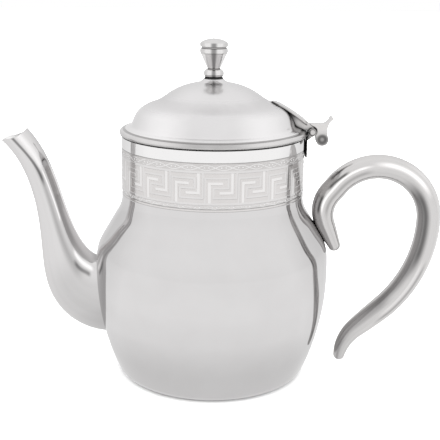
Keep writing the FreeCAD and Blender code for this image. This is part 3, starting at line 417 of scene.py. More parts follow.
def black_matte(name, greys, rough, grain, bump):
    material, graph, shader = new_material(name)
    marks = graph.noise(graph.spot(), grain, detail=5)
    graph.fill(shader, {"Base Color": graph.grey_ramp(marks, MIDDLE, greys),
                        "Roughness": graph.scale(marks, *MIDDLE, *rough, way="LINEAR"),
                        "Normal": graph.bump(marks, bump)})
    return material


def streaks(marks):
    """Painted reflections: soft dark and light streaks along a piece."""
    def shade(graph):
        across, _, along = graph.axes(graph.streak())
        factor = 1.0
        for (near, far), half, start, end, fade, change in marks:
            middle = graph.scale(along, start, end, near, far)
            off = graph.calc("ABSOLUTE", graph.calc("SUBTRACT", across, middle))
            tone = graph.scale(off, half, 0.0, 0.0, change)
            begin = graph.scale(along, start - fade, start)
            finish = graph.scale(along, end + fade, end)
            patch = graph.calc("MULTIPLY", tone, graph.calc("MULTIPLY", begin, finish))
            factor = graph.calc("MULTIPLY", graph.calc("ADD", patch, 1.0), factor)
        return factor
    return shade


def paint_knob_reflections(graph):
    """Painted reflections for the knob: upright dark streaks, deepest at the front, calm on the cap, lighter
    on the cone.
    """
    tones = KNOB_PAINTED_REFLECTIONS
    spot = graph.spot()
    level = graph.axes(spot)[2]
    wave = graph.calc("COSINE", graph.calc("MULTIPLY", graph.azimuth(spot), tones.streaks / 2))
    ridge = graph.scale(graph.calc("POWER", wave, 2.0), 1.0, tones.ridge)
    depth = graph.calc("MULTIPLY_ADD", wave, tones.front_depth, tones.depth)
    streak = graph.calc("MULTIPLY_ADD", depth, graph.calc("SUBTRACT", ridge, 1.0), 1.0)
    on_cap = graph.scale_mm(level, tones.cap_level, tones.top_level)
    calm = graph.calc("MULTIPLY_ADD", graph.calc("SUBTRACT", tones.cap, streak), on_cap, streak)
    above = graph.scale_mm(level, tones.cone_foot, tones.cone_foot + tones.blend, 0.0, tones.cone_gain)
    below = graph.scale_mm(level, tones.cone_top, tones.cone_top - tones.blend)
    return graph.calc("MULTIPLY", calm, graph.calc("MULTIPLY_ADD", above, below, tones.rest))


def paint_scroll_shading(graph):
    """Painted shading for the thumb scroll: painted shade around the dimple with a painted highlight at its
    core, and painted light towards the top.
    """
    tones = SCROLL_PAINTED_SHADING
    x, _, z = graph.axes(graph.spot())
    across = graph.calc("SUBTRACT", x, tones.across * MM)
    up = graph.calc("SUBTRACT", z, tones.up * MM)
    squares = graph.calc("ADD", graph.calc("POWER", across, 2.0), graph.calc("POWER", up, 2.0))
    away = graph.calc("SQRT", squares)
    ring = graph.scale_mm(away, *tones.ring, 1.0, tones.ring_tone)
    core = graph.scale_mm(away, *tones.core, 0.0, tones.core_gain)
    rise = graph.scale_mm(up, 0.0, tones.rise, *tones.rise_tones)
    return graph.calc("MULTIPLY", graph.calc("ADD", ring, core), rise)


def paint_occlusion_shade(reach, shut=0.7):
    """A painted shade that darkens places hemmed in by other steel within a reach, from an occlusion node.

    At the openness given as shut it is darkest."""
    def shade(graph):
        openness = graph.add("AmbientOcclusion", {"Distance": reach * MM})
        return graph.scale(openness.outputs["AO"], shut, 1.0, DARKEST_PAINTED_SHADE, 1.0)
    return shade


def dull_lid(graph):
    """Extra roughness in the lid's waist, where polishing wheels don't reach, and a little on its crown."""
    tones = LID_TONES
    level = graph.axes(graph.spot())[2]
    off = graph.calc("ABSOLUTE", graph.calc("SUBTRACT", level, tones.waist * MM))
    waist = graph.scale_mm(off, *tones.waist_half, 0.0, tones.waist_dull)
    crown = graph.scale_mm(level, *tones.crown, 0.0, tones.crown_dull)
    return graph.calc("ADD", waist, crown)


def paint_side_highlights(gain):
    """Painted highlights for the lid: lighter low on the bulge, left and right."""
    def shade(graph):
        tones = LID_TONES
        x, _, level = graph.axes(graph.spot())
        aside = graph.scale_mm(graph.calc("ABSOLUTE", x), *tones.side, 0.0, gain)
        low_down = graph.scale_mm(level, POT.mouth + tones.side_top, POT.mouth + tones.side_foot)
        return graph.calc("MULTIPLY_ADD", aside, low_down, 1.0)
    return shade


# Steels of the pot and its band
polished = steel("polished_steel", (0.622, 0.611, 0.612), (0.64, 0.63, 0.631),
                 rough=(0.04, 0.08), grain=(80, 80, 2500), bump=0.012)
bright = steel("bright_steel", (0.78, 0.773, 0.773), (0.8, 0.793, 0.793),
               rough=(0.04, 0.07), grain=(80, 80, 2500), bump=0.01)
hook = steel("hook_steel", (0.735, 0.722, 0.718), (0.775, 0.762, 0.758),
             rough=(0.05, 0.1), grain=(80, 80, 2500), bump=0.012)
ribbon = steel("ribbon_steel", (0.65, 0.638, 0.635), (0.69, 0.678, 0.675),
               rough=(0.05, 0.1), grain=(80, 80, 2500), bump=0.012)
satin = steel("satin_steel", (0.635, 0.616, 0.609), (0.665, 0.646, 0.639),
              rough=(0.13, 0.2), grain=(1600, 1600, 1600), bump=0.06)
etched = steel("etched_steel", (0.565, 0.549, 0.543), (0.625, 0.609, 0.603),
               rough=(0.16, 0.24), grain=(1600, 1600, 1600), bump=0.08)
# Dark steel in grooves and creases of the band, the lid and the knob: painted shade
groove_painted_shade = steel("groove_painted_shade_steel", (0.34, 0.332, 0.33), (0.39, 0.382, 0.38),
             rough=(0.12, 0.2), grain=(300, 300, 300), bump=0.04)
plain = steel("inner_steel", (0.7, 0.692, 0.688), (0.77, 0.762, 0.758),
              rough=(0.25, 0.42), grain=(60, 60, 3000), bump=0.1)

# Steels of the spout and the handle; their outsides carry painted reflections as streaks
# Drawn steel of the spout, with painted reflections streaked along it
spout_with_painted_reflections = steel("spout_with_painted_reflections_steel", (0.6, 0.589, 0.589), (0.66, 0.649, 0.649),
              rough=(0.06, 0.14), grain=(5, 5, 3), bump=0.02,
              clouds=(2.4, 2.4, 0.9), lengthwise=True, shade=streaks(SPOUT_PAINTED_REFLECTIONS))
# A lighter copy of the spout's steel for its inside: painted light
inside_painted_light = steel("inside_painted_light_steel", (0.86, 0.855, 0.852), (0.92, 0.915, 0.912),
               rough=(0.35, 0.45), grain=(700, 700, 700), bump=0.05)
# Brushed steel of the handle, with painted reflections streaked along it
handle_with_painted_reflections = steel("handle_with_painted_reflections_steel", (0.55, 0.538, 0.534), (0.64, 0.628, 0.624),
                rough=(0.14, 0.24), grain=(9, 9, 1.5), bump=0.04,
                clouds=(2.2, 2.2, 0.8), lengthwise=True, shade=streaks(HANDLE_PAINTED_REFLECTIONS))

# Steels of the lid, its knob and its hinge
# The lid's pressed steel, with painted highlights low on the bulge, left and right
pressed = steel("pressed_steel", (0.655, 0.645, 0.648), (0.685, 0.675, 0.678),
                rough=(0.13, 0.2), grain=(300, 300, 300), bump=0.02, shade=paint_side_highlights(0.18), dull=dull_lid)
# A darker copy of the lid's steel for its rim and the spout's lip: painted shade, with painted highlights at
# the lid's sides
rim_painted_shade = steel("rim_painted_shade_steel", (0.425, 0.416, 0.415), (0.475, 0.466, 0.465),
               rough=(0.1, 0.2), grain=(300, 300, 300), bump=0.04, shade=paint_side_highlights(0.45))
# The underside of the lid's bead: a painted shadow, dark almost wherever other steel is near
bead_painted_shadow = steel("bead_painted_shadow_steel", (0.48, 0.47, 0.468), (0.54, 0.53, 0.528),
                rough=(0.2, 0.3), grain=(700, 700, 700), bump=0.1, shade=paint_occlusion_shade(4, 0.985))
# The knob's turned steel, with painted reflections as upright streaks
turned = steel("knob_steel_with_painted_reflections", (0.92, 0.906, 0.902), (0.98, 0.966, 0.962),
               rough=(0.12, 0.22), grain=(60, 60, 4000), bump=0.08, shade=paint_knob_reflections)
# The hinge strap and pin, with painted shade where other steel hems them in
cast = steel("hinge_steel", (0.52, 0.506, 0.5), (0.6, 0.586, 0.58),
             rough=(0.1, 0.2), grain=(300, 300, 300), bump=0.06, shade=paint_occlusion_shade(3, 0.3))
# The thumb scroll's steel, with painted shade around its dimple and painted light towards its top
scroll = steel("scroll_steel", (0.58, 0.566, 0.56), (0.66, 0.646, 0.64),
               rough=(0.1, 0.2), grain=(300, 300, 300), bump=0.06, shade=paint_scroll_shading)
# The hinge leaf, with painted shade where other steel hems it in
leaf = steel("leaf_steel", (0.46, 0.446, 0.44), (0.54, 0.526, 0.52),
             rough=(0.1, 0.2), grain=(400, 400, 400), bump=0.08, shade=paint_occlusion_shade(4))
# A black matte washer under the knob; it draws the dark line between knob and lid
black = black_matte("gasket_rubber", (0.008, 0.02), rough=(0.6, 0.85), grain=(900, 900, 900), bump=0.3)


# Pot body
def pot_outline(inset, chord):
    """Half section of one face of the pot, from the base's centre up to the neck's foot."""
    wall_centre = at(POT.belly - POT.wall_radius, POT.belly_height)
    rise = POT.belly_height - POT.corner
    reach = sqrt((POT.wall_radius - POT.corner) ** 2 - rise ** 2)
    corner_centre = wall_centre + at(reach, -rise)
    fillet_centre = at(POT.neck + POT.fillet, POT.neck_foot)
    slope = unit(POT.slope)
    slope_top = fillet_centre - slope * POT.fillet
    down = unit(POT.slope - 90)
    start = slope_top - slope * POT.shoulder - wall_centre
    half = start.dot(down)
    length = -half + sqrt(half ** 2 - start.length ** 2 + (POT.wall_radius - POT.shoulder) ** 2)
    slope_foot = slope_top + down * length
    shoulder_centre = slope_foot - slope * POT.shoulder
    corner_angle = angle_of(corner_centre - wall_centre)
    shoulder_angle = angle_of(shoulder_centre - wall_centre)
    inward = slope * -inset
    return joined(
        run(at(0, inset), at(corner_centre.x, inset), STEP.base),
        arc(corner_centre, POT.corner - inset, -90, corner_angle, chord),
        arc(wall_centre, POT.wall_radius - inset, corner_angle, shoulder_angle, chord),
        arc(shoulder_centre, POT.shoulder - inset, shoulder_angle, POT.slope, chord),
        run(slope_foot + inward, slope_top + inward, chord),
        arc(fillet_centre, POT.fillet + inset, 180 + POT.slope, 180, chord),
        [at(POT.neck - inset, POT.neck_foot)],
    )


def key_ribbons():
    """Raised ribbons of one unit of the key pattern, broad hooks and the thin line that runs around them.

    Each has its lowest and highest corner, along and up, in millimetres."""
    wide = BAND.hook / 2
    thin = BAND.line / 2
    foot = BAND.rails[0][0]
    top = BAND.hook_level
    over = BAND.outer_level
    outer = -BAND.outer
    back = BAND.turn_back
    half = [
        (-wide, foot, wide, top + wide),
        (-wide, top - wide, BAND.hook_reach, top + wide),
        (outer - thin, foot, outer + thin, over + thin),
        (outer - thin, over - thin, back + thin, over + thin),
        (back - thin, BAND.middle - thin, back + thin, over + thin),
    ]
    turned_half = []
    for left, low, right, high in half:
        turned_half.append((BAND.hook_shift - right, 2 * BAND.middle - high,
                            BAND.hook_shift - left, 2 * BAND.middle - low))
    bar = (BAND.hook_shift - back - thin, BAND.middle - thin, back + thin, BAND.middle + thin)
    return half[:2] + turned_half[:2], half[2:] + turned_half[2:] + [bar]


def on_rail(up):
    return any(low <= up <= high for low, high in BAND.rails)


def on_ribbon(ribbons, pitch, along, up):
    """Whether a spot of the band lies on a ribbon of this or a neighbouring unit."""
    for left, low, right, high in ribbons:
        if low <= up <= high and any(left <= along + shift <= right for shift in (-pitch, 0, pitch)):
            return True
    return False


def filled_in(places, widest):
    """Adds places so that no step is wider than given."""
    places = sorted(set(round(place, 5) for place in places))
    full = []
    for start, end in zip(places, places[1:]):
        steps = max(1, ceil((end - start) / widest))
        full += [start + (end - start) * k / steps for k in range(steps)]
    return full + [places[-1]]


def band_grid(ribbons, pitch):
    """Places along one unit, an even number of them, and levels up the neck for the edges of the band."""
    wall = BAND.wall / 2
    half = BAND.groove / 2

    def both_sides(*edges):
        return [edge + side for edge in edges for side in (-wall, wall)]

    along = [0, pitch]
    ups = [POT.neck_foot, POT.mouth, BAND.foot + half + wall, BAND.top - half - wall]
    for left, low, right, high in ribbons:
        along += [spot % pitch for spot in both_sides(left, right)]
        ups += both_sides(low, high)
    for rail in BAND.rails:
        ups += both_sides(*rail)
    for ring in BAND.rings:
        ups += [ring - half, ring, ring + half]
    places = filled_in(along, STEP.unit)[:-1]
    if len(places) % 2:
        places = sorted(places + [(places[-1] + pitch) / 2])
    return places, filled_in(ups, STEP.straight)


def make_body():
    pitch = 2 * pi * POT.neck / BAND.units
    turn = 360 / BAND.units
    half = BAND.groove / 2
    hooks, lines = key_ribbons()
    unit_places, levels = band_grid(hooks + lines, pitch)
    places = unit_places * BAND.units
    columns = [BAND.start + (k // len(unit_places) + spot / pitch) * turn for k, spot in enumerate(places)]
    neck_rows = [at(POT.neck, up) for up in levels]
    inner = pot_outline(POT.sheet, STEP.inside)
    mouth_inside = at(POT.neck - POT.sheet, POT.mouth)
    neck_inside = run(inner[-1], mouth_inside, STEP.neck_inside)
    outer = pot_outline(0, STEP.outside)
    # The base and its corner keep their shape
    base = sum(1 for spot in outer if spot.y < 2 * POT.corner)
    outer = outer[:base] + eased(outer[base:], POT.easing)
    outline = joined(outer, neck_rows, neck_inside[::-1], inner[::-1])
    outer_end = len(joined(outer, neck_rows))

    def in_band(j):
        return j < outer_end and BAND.foot - half - TOUCH < outline[j].y < BAND.top + half + TOUCH

    def recess(i, j):
        if not in_band(j):
            return 0
        up = outline[j].y
        if any(abs(up - ring) < TOUCH for ring in BAND.rings):
            return BAND.groove_depth
        if not BAND.foot + half < up < BAND.top - half:
            return 0
        proud = on_rail(up) or on_ribbon(hooks + lines, pitch, places[i], up)
        return 0 if proud else BAND.depth

    def finish(i, j):
        if j >= outer_end - 1:
            return plain
        up = (outline[j].y + outline[j + 1].y) / 2
        if up > BAND.top:
            return bright
        if up < BAND.foot:
            return polished
        # The grooved rings of the band get painted shade
        if any(abs(up - ring) < half for ring in BAND.rings):
            return groove_painted_shade
        if on_rail(up):
            return ribbon
        if up > BAND.rails[1][1]:
            return etched
        middle = (places[i] + (places[(i + 1) % len(places)] or pitch)) / 2
        if on_ribbon(hooks, pitch, middle, up):
            return hook
        return ribbon if on_ribbon(lines, pitch, middle, up) else satin

    materials = [polished, satin, plain, bright, ribbon, groove_painted_shade, etched, hook]
    shape = lathe(outline, columns, finish, recess, lambda j: not in_band(j))
    cut_port(add_piece("pot_body", "pot", ["body_shell"], materials, *shape, crease=14))
    return outline[:outer_end]


def cut_port(body):
    """Cuts the slot behind the spout's root, with a cutter that reaches from outside to half way in."""
    half = SPOUT.port_wide / 2
    reach = (SPOUT.port_tall - SPOUT.port_wide) / 2
    ring = []
    for turn in range(0, 180 + ROUND_STEP, ROUND_STEP):
        angle = radians(turn)
        ring.append((half * cos(angle), SPOUT.root_level + reach + half * sin(angle)))
    ring += [(-across, 2 * SPOUT.root_level - up) for across, up in ring]
    vertices = [(-POT.belly * share, across, up) for share in SPOUT.port_cut for across, up in ring]
    count = len(ring)
    faces = grid_faces(2, count) + [tuple(range(count)), tuple(range(count, 2 * count))]
    mesh = new_mesh("port_cutter", vertices, faces)
    tidy_normals(mesh)
    cutter = link("port_cutter", mesh)
    cut = body.modifiers.new("port", "BOOLEAN")
    cut.operation = "DIFFERENCE"
    cut.solver = "EXACT"
    cut.object = cutter
    bake_modifiers(body)
    bpy.data.objects.remove(cutter)


def bake_modifiers(piece):
    """Gives a piece the mesh that its modifiers make of it."""
    graph = bpy.context.evaluated_depsgraph_get()
    result = bpy.data.meshes.new_from_object(piece.evaluated_get(graph))
    piece.modifiers.clear()
    piece.data = result


# Wavy chains that border the key pattern
def wire(path):
    """Vertices and faces of a closed round wire around the neck."""
    vertices = []
    sides = AROUND.wire
    for k, spot in enumerate(path):
        ahead = (path[(k + 1) % len(path)] - path[k - 1]).normalized()
        out = Vector((spot.x, spot.y, 0)).normalized()
        side = ahead.cross(out).normalized()
        out = side.cross(ahead)
        vertices += [spot + (out * across + side * up) * BAND.wire for across, up in circle(sides)]
    return vertices, grid_faces(len(path), sides) + ring_faces((len(path) - 1) * sides, 0, sides)


def dot(turn, level):
    """Vertices and faces of a low round dot on the band's ground."""
    vertices = []
    sides = AROUND.dot
    lifts = BAND.dot_lifts
    for lift in lifts:
        radius = BAND.dot * cos(radians(lift))
        proud = BAND.dot_height * sin(radians(lift)) - BAND.depth
        for across, up in circle(sides):
            aside = degrees(radius * across / POT.neck)
            vertices.append(on_neck(turn + aside, level + radius * up, proud))
    caps = [tuple(range(sides)), tuple(range(len(vertices) - sides, len(vertices)))]
    return vertices, grid_faces(len(lifts), sides) + caps


def on_neck(turn, up, proud):
    angle = radians(turn)
    radius = POT.neck + proud
    return Vector((radius * sin(angle), -radius * cos(angle), up))


def make_chains():
    """Two waves make a row of lenses, with a pair of dots in each lens."""
    vertices = []
    faces = []

    def add(new_vertices, new_faces):
        base = len(vertices)
        vertices.extend(new_vertices)
        faces.extend(tuple(base + n for n in face) for face in new_faces)

    steps = BAND.lenses * BAND.wire_steps
    for level, height, phase in BAND.chains:
        for side in (1, -1):
            path = []
            for turn in even_columns(steps):
                wave = cos(radians((turn - phase) * BAND.lenses / 2))
                path.append(on_neck(turn, level + side * height * wave, -BAND.depth))
            add(*wire(path))
        for turn in even_columns(BAND.lenses):
            for side in (-1, 1):
                add(*dot(phase + turn + BAND.dot_gap * side, level))
    add_piece("neck_chain", "pot", [], [bright], vertices, faces, crease=50)


# Spout
def spout_section(t, inset):
    """Centre, in-plane normal and half axes of the spout at a share of its length."""
    root = at(SPOUT.root_inset - POT.belly, SPOUT.root_level)
    tip = at(-SPOUT.tip_reach, SPOUT.tip_level)
    lean = unit(180 - SPOUT.tip_angle)
    controls = [root, root - at(SPOUT.root_pull, 0), tip - lean * SPOUT.tip_pull, tip]
    weights = [(1 - t) ** 3, 3 * t * (1 - t) ** 2, 3 * t ** 2 * (1 - t), t ** 3]
    slopes = [-3 * (1 - t) ** 2, 3 * (1 - t) * (1 - 3 * t), 3 * t * (2 - 3 * t), 3 * t ** 2]
    centre = sum((point * weight for point, weight in zip(controls, weights)), at(0, 0))
    ahead = sum((point * slope for point, slope in zip(controls, slopes)), at(0, 0)).normalized()
    fade = 1 - 3 * t ** 2 + 2 * t ** 3 if t < 1 else 0.0
    taper = fade ** SPOUT.taper
    narrow = SPOUT.tip_diameter
    roots = (SPOUT.root_tall, SPOUT.root_wide)
    tall, wide = ((narrow + (broad - narrow) * taper) / 2 - inset for broad in roots)
    return centre, at(-ahead.y, ahead.x), tall, wide


def spout_point(t, around, inset):
    centre, normal, tall, wide = spout_section(t, inset)
    spot = centre + normal * (tall * cos(around))
    return Vector((spot.x, wide * sin(around), spot.y))


def solve(test, low, high, halvings=40):
    """Where a test that is negative at low turns positive."""
    for step in range(halvings):
        middle = (low + high) / 2
        if test(middle) < 0:
            low = middle
        else:
            high = middle
    return (low + high) / 2


def pot_radius(outline, up):
    for lower, upper in zip(outline, outline[1:]):
        if lower.y <= up <= upper.y and upper.y > lower.y:
            return lower.x + (upper.x - lower.x) * (up - lower.y) / (upper.y - lower.y)
    return outline[-1].x


def make_spout(outline):
    around = AROUND.spout
    rows = SPOUT.rows
    tip = Vector((-SPOUT.tip_reach, 0, SPOUT.tip_level))
    slope = radians(SPOUT.mouth_slope)
    mouth = Vector((-sin(slope), 0, cos(slope)))
    uphill = Vector((cos(slope), 0, sin(slope)))
    vertices = []
    streak = []
    for inset in (0.0, SPOUT.wall):
        lines = []
        for n in range(around):
            a = 2 * pi * n / around

            def beyond_wall(t):
                spot = spout_point(t, a, inset)
                return hypot(spot.x, spot.y) - pot_radius(outline, spot.z) + SPOUT.sink

            def beyond_mouth(t):
                off = spout_point(t, a, inset) - tip
                across = off.dot(uphill) / (SPOUT.tip_diameter / 2)
                hollow = max(0, 1 - ((across - SPOUT.dip_place) / SPOUT.dip_half) ** 2)
                return off.dot(mouth) + SPOUT.dip * hollow

            start = solve(beyond_wall, *SPOUT.root_search)
            end = solve(beyond_mouth, *SPOUT.mouth_search)
            lines.append([spout_point(start + (end - start) * k / rows, a, inset) for k in range(rows + 1)])
        for k in range(rows + 1) if inset == 0 else range(rows, -1, -1):
            vertices += [line[k] for line in lines]
            streak += [(*unit(360 * n / around), k / rows) for n in range(around)]
    rings = 2 * (rows + 1)
    faces = grid_faces(rings, around) + ring_faces((rings - 1) * around, 0, around)
    # The lip between outside and inside has the rim's darker steel, a line of painted shade; the inside has
    # painted light
    finishes = [spout_with_painted_reflections] * (rows * around) + [rim_painted_shade] * around + [inside_painted_light] * ((rows + 1) * around)
    add_piece("spout_tube", "pot", ["spout"], [spout_with_painted_reflections, rim_painted_shade, inside_painted_light], vertices, faces, finishes, crease=40,
              streak=streak)


# Handle
def handle_route():
    """Start, heading and stretches of the handle's middle line, each a length or a radius with a turn."""
    heading = POT.slope + 90 - HANDLE.curl_lean
    after_crook = heading - HANDLE.crook_turn
    soft = HANDLE.crook_soft
    crook_radius = HANDLE.crook_radius + soft / tan(radians(HANDLE.crook_turn / 2))
    stretches = [
        (HANDLE.curl_length - soft, 0),
        (crook_radius, -HANDLE.crook_turn),
        (HANDLE.rise - soft, 0),
        (HANDLE.top_radius, -(after_crook + 90)),
        (HANDLE.back_radius, -HANDLE.back_turn),
        (HANDLE.sweep, 0),
        (HANDLE.tail_radius, HANDLE.tail_turn),
    ]
    total = sum(stretch_length(*stretch) for stretch in stretches)
    slope = unit(POT.slope)
    slope_top = at(POT.neck + POT.fillet, POT.neck_foot) - slope * POT.fillet
    seat = slope_top - unit(POT.slope + 90) * HANDLE.seat_drop
    seat += slope * (handle_radius(HANDLE.curl_length, total) - HANDLE.sink)
    return seat - unit(heading) * HANDLE.curl_length, heading, stretches, total


def stretch_length(measure, turn):
    return abs(radians(turn)) * measure if turn else measure


def handle_radius(along, total):
    full = HANDLE.diameter
    curl = max(1 - along / HANDLE.curl_taper, 0) ** 2
    tail = max(1 - (total - along) / HANDLE.tail_taper, 0) ** 2
    return (full - (full - HANDLE.curl_diameter) * curl - (full - HANDLE.tail_diameter) * tail) / 2


def route_point(here, heading, stretches, along):
    for measure, turn in stretches:
        length = stretch_length(measure, turn)
        part = min(along, length)
        if turn:
            side = 90 if turn > 0 else -90
            centre = here + unit(heading + side) * measure
            heading = heading + turn * part / length
            here = centre - unit(heading + side) * measure
        else:
            here = here + unit(heading) * part
        along -= part
        if along <= 0:
            break
    return here, heading


def make_handle():
    start, heading, stretches, total = handle_route()
    around = AROUND.handle
    steps = round(total)
    stations = [(total * k / steps, 0.0, 1.0) for k in range(steps + 1)]
    for cap in range(ROUND_STEP, 90, ROUND_STEP):
        beyond = sin(radians(cap))
        thin = cos(radians(cap))
        stations.insert(0, (0.0, -beyond, thin))
        stations.append((total, beyond, thin))
    vertices = []
    streak = []
    for along, beyond, thin in stations:
        spot, course = route_point(start, heading, stretches, along)
        radius = handle_radius(along, total)
        spot = spot + unit(course) * (beyond * radius)
        normal = unit(course + 90)
        for across, out in circle(around):
            side = spot + normal * (radius * thin * across)
            vertices.append((side.x, radius * thin * out, side.y))
            streak.append((across, out, along / total))
    faces = grid_faces(len(stations), around)
    ends = ((0.0, -1, 0), (total, 1, (len(stations) - 1) * around))
    for along, side, first in ends:
        spot, course = route_point(start, heading, stretches, along)
        spot = spot + unit(course) * (side * handle_radius(along, total))
        faces += [(len(vertices), first + n, first + (n + 1) % around) for n in range(around)]
        vertices.append((spot.x, 0, spot.y))
        streak.append((0, 0, along / total))
    add_piece("handle_bar", "pot", ["handle"], [handle_with_painted_reflections], vertices, faces, crease=60, streak=streak)


# Lid
def make_lid():
    rim = at(POT.neck - POT.sheet / 2, POT.mouth + LID.gap + LID.bead)
    upward = unit(90 - LID.slope)
    outward = unit(-LID.slope)
    bulge = at(POT.neck - LID.bulge_inset, POT.mouth + LID.bulge_level)
    dome = at(0, POT.mouth + LID.crown - LID.dome)
    rise = upward.dot(rim - bulge) + LID.bead + LID.foot
    reach = sqrt((LID.bulge + LID.foot) ** 2 - rise ** 2)
    foot = bulge + upward * rise + outward * reach
    flange_foot = foot - upward * LID.foot
    boss_level = POT.mouth + LID.crown + LID.boss_height
    boss_edge = at(LID.boss, boss_level)
    waist = circles_meet(dome, LID.dome + LID.waist, bulge, LID.bulge + LID.waist, 1)
    flare = circles_meet(dome, LID.dome + LID.flare, boss_edge, LID.flare, -1)

    def face(inset, crown_edge, crown_stretch):
        foot_radius = LID.foot + inset
        rim_level = rim.y + (LID.bead - inset) / cos(radians(LID.slope))
        crown = joined(
            arc(dome, LID.dome - inset, angle_of(crown_edge - dome), angle_of(waist - dome)),
            arc(waist, LID.waist + inset, angle_of(dome - waist), angle_of(bulge - waist)),
            arc(bulge, LID.bulge - inset, angle_of(waist - bulge), angle_of(foot - bulge)),
        )
        return joined(
            crown_stretch,
            eased(crown, LID.easing),
            arc(foot, foot_radius, angle_of(bulge - foot), angle_of(-upward)),
            run(foot - upward * foot_radius, at(rim.x, rim_level), STEP.lid_edge),
        )

    def past_valley(spot):
        """How far outwards along the flange a spot lies from the valley's middle."""
        return (spot - flange_foot).dot(outward) - LID.valley_place

    boss = joined(
        run(at(LID.hole, boss_level), boss_edge),
        arc(flare, LID.flare, angle_of(boss_edge - flare), angle_of(dome - flare), STEP.lid_edge),
    )
    outside = face(0.0, flare, boss)[:-1]
    for k, spot in enumerate(outside):
        if spot.x > flange_foot.x:
            off = past_valley(spot) / LID.valley_half
            outside[k] = spot - upward * (LID.valley * max(0, 1 - off ** 2) ** 2)
    inner_dome = LID.dome - LID.sheet
    seat = at(LID.seat, dome.y + sqrt(inner_dome ** 2 - LID.seat ** 2))
    inside = face(LID.sheet, seat, run(at(LID.hole, seat.y), seat))
    inside = [spot for spot in inside if (spot - rim).length > LID.bead]
    under = angle_of(inside[-1] - rim)
    bead = arc(rim, LID.bead, 90 - LID.slope, under - 360 if under > 0 else under, STEP.bead)
    outline = joined(outside, bead, inside[::-1])
    bead_end = len(outside) + len(bead) - 2

    def finish(i, j):
        if j >= bead_end:
            return plain
        middle = (outline[j] + outline[j + 1]) / 2
        if middle.x < flange_foot.x:
            return pressed
        # The bead's underside gets a painted shadow, its top the rim's darker steel with painted shade
        if (middle - rim).length < LID.bead + TOUCH:
            return bead_painted_shadow if middle.y < rim.y else rim_painted_shade
        # A thin line of painted shade in the valley's middle, and the rim's darker steel with painted shade
        # beyond it
        past = past_valley(middle)
        if abs(past) < LID.valley_seam:
            return groove_painted_shade
        return pressed if past < 0 else rim_painted_shade

    shape = lathe(outline, even_columns(AROUND.lid), finish)
    add_piece("lid_dome", "lid", ["lid_shell"], [pressed, plain, bead_painted_shadow, rim_painted_shade, groove_painted_shade], *shape, crease=35)
    return boss_level


# Knob
def rounded(corners, edge, straight=160, pull=0.12):
    """Cuts each corner of an outline with a small bevel of five points, apart from nearly straight ones."""
    points = [corners[0]]
    for before, corner, after in zip(corners, corners[1:], corners[2:]):
        back = (before - corner).normalized()
        ahead = (after - corner).normalized()
        if back.angle(ahead) > radians(straight):
            points.append(corner)
            continue
        start = corner + back * edge
        end = corner + ahead * edge
        middle = (start + end) / 4 + corner / 2
        points += [start, start.lerp(middle, 0.5).lerp(corner, pull), middle,
                   end.lerp(middle, 0.5).lerp(corner, pull), end]
    return points + [corners[-1]]


def bulged(start, end, radius, chord):
    """An outward arc between two points of the outline."""
    half = (end - start) / 2
    inward = at(-half.y, half.x).normalized()
    centre = start + half + inward * sqrt(max(radius ** 2 - half.length ** 2, 0))
    first = angle_of(start - centre)
    sweep = 2 * degrees(asin(min(half.length / radius, 1)))
    return arc(centre, radius, first, first + sweep, chord)


def arc_rise(radius, chord):
    return radius - sqrt(radius ** 2 - chord ** 2 / 4)


def make_knob(boss_level):
    foot_level = boss_level + KNOB.gasket
    hole_top = foot_level + KNOB.hole_depth
    foot = KNOB.bead - arc_rise(KNOB.bead_round, KNOB.bead_height)
    bead_top = foot_level + KNOB.bead_height
    ring_foot = bead_top + KNOB.cone
    ring = KNOB.ring - arc_rise(KNOB.ring_round, KNOB.ring_height)
    ring_top = ring_foot + KNOB.ring_height
    groove = KNOB.ring - KNOB.groove_depth
    cap_foot = ring_top + KNOB.groove_width
    cap_edge = cap_foot + KNOB.cap_edge
    cap_top = at(0, cap_edge + KNOB.cap_rise)
    cap_round = (KNOB.ring ** 2 + KNOB.cap_rise ** 2) / (2 * KNOB.cap_rise)
    corners = joined(
        [at(LID.hole, hole_top), at(LID.hole, foot_level)],
        bulged(at(foot, foot_level), at(foot, bead_top), KNOB.bead_round, STEP.knob),
        run(at(KNOB.stem, bead_top), at(ring, ring_foot), STEP.cone),
        bulged(at(ring, ring_foot), at(ring, ring_top), KNOB.ring_round, STEP.knob),
        [at(groove, ring_top), at(groove, cap_foot), at(KNOB.ring, cap_foot)],
        bulged(at(KNOB.ring, cap_edge), cap_top, cap_round, STEP.cap),
    )
    outline = [at(0, hole_top)] + rounded(corners, KNOB.soft_edge)

    def finish(i, j):
        middle = (outline[j] + outline[j + 1]) / 2
        # The groove under the cap and the waist at the bead's top get painted shade
        in_groove = ring_top < middle.y < cap_foot and middle.x < KNOB.ring - KNOB.groove_lip
        in_waist = abs(middle.y - bead_top) < KNOB.waist_seam and middle.x < foot
        return groove_painted_shade if in_groove or in_waist else turned

    shape = lathe(outline, even_columns(AROUND.knob), finish)
    add_piece("knob_turned", "lid", ["knob"], [turned, groove_painted_shade], *shape, crease=40)


# Hinge pieces keep the solids' shapes, with the edges melted round as on small castings
def softened(node, body, material, cell, rounds, pillow=0):
    """A copy of a solid's mesh in even cells, smoothed in rounds, with more rounds sideways for a pillow."""
    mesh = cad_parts[node].data.copy()
    mesh.name = f"{node}_soft"
    piece = link(f"{node}_soft", mesh)
    remesh = piece.modifiers.new("cells", "REMESH")
    remesh.mode = "VOXEL"
    remesh.voxel_size = cell * MM
    smooth = piece.modifiers.new("smooth", "SMOOTH")
    smooth.iterations = rounds
    if pillow:
        sideways = piece.modifiers.new("pillow", "SMOOTH")
        sideways.use_x = False
        sideways.use_z = False
        sideways.iterations = pillow
    bake_modifiers(piece)
    piece.data.materials.clear()
    piece.data.materials.append(material)
    piece.data.shade_smooth()
    place(piece, body, "hinge_steel", [node])


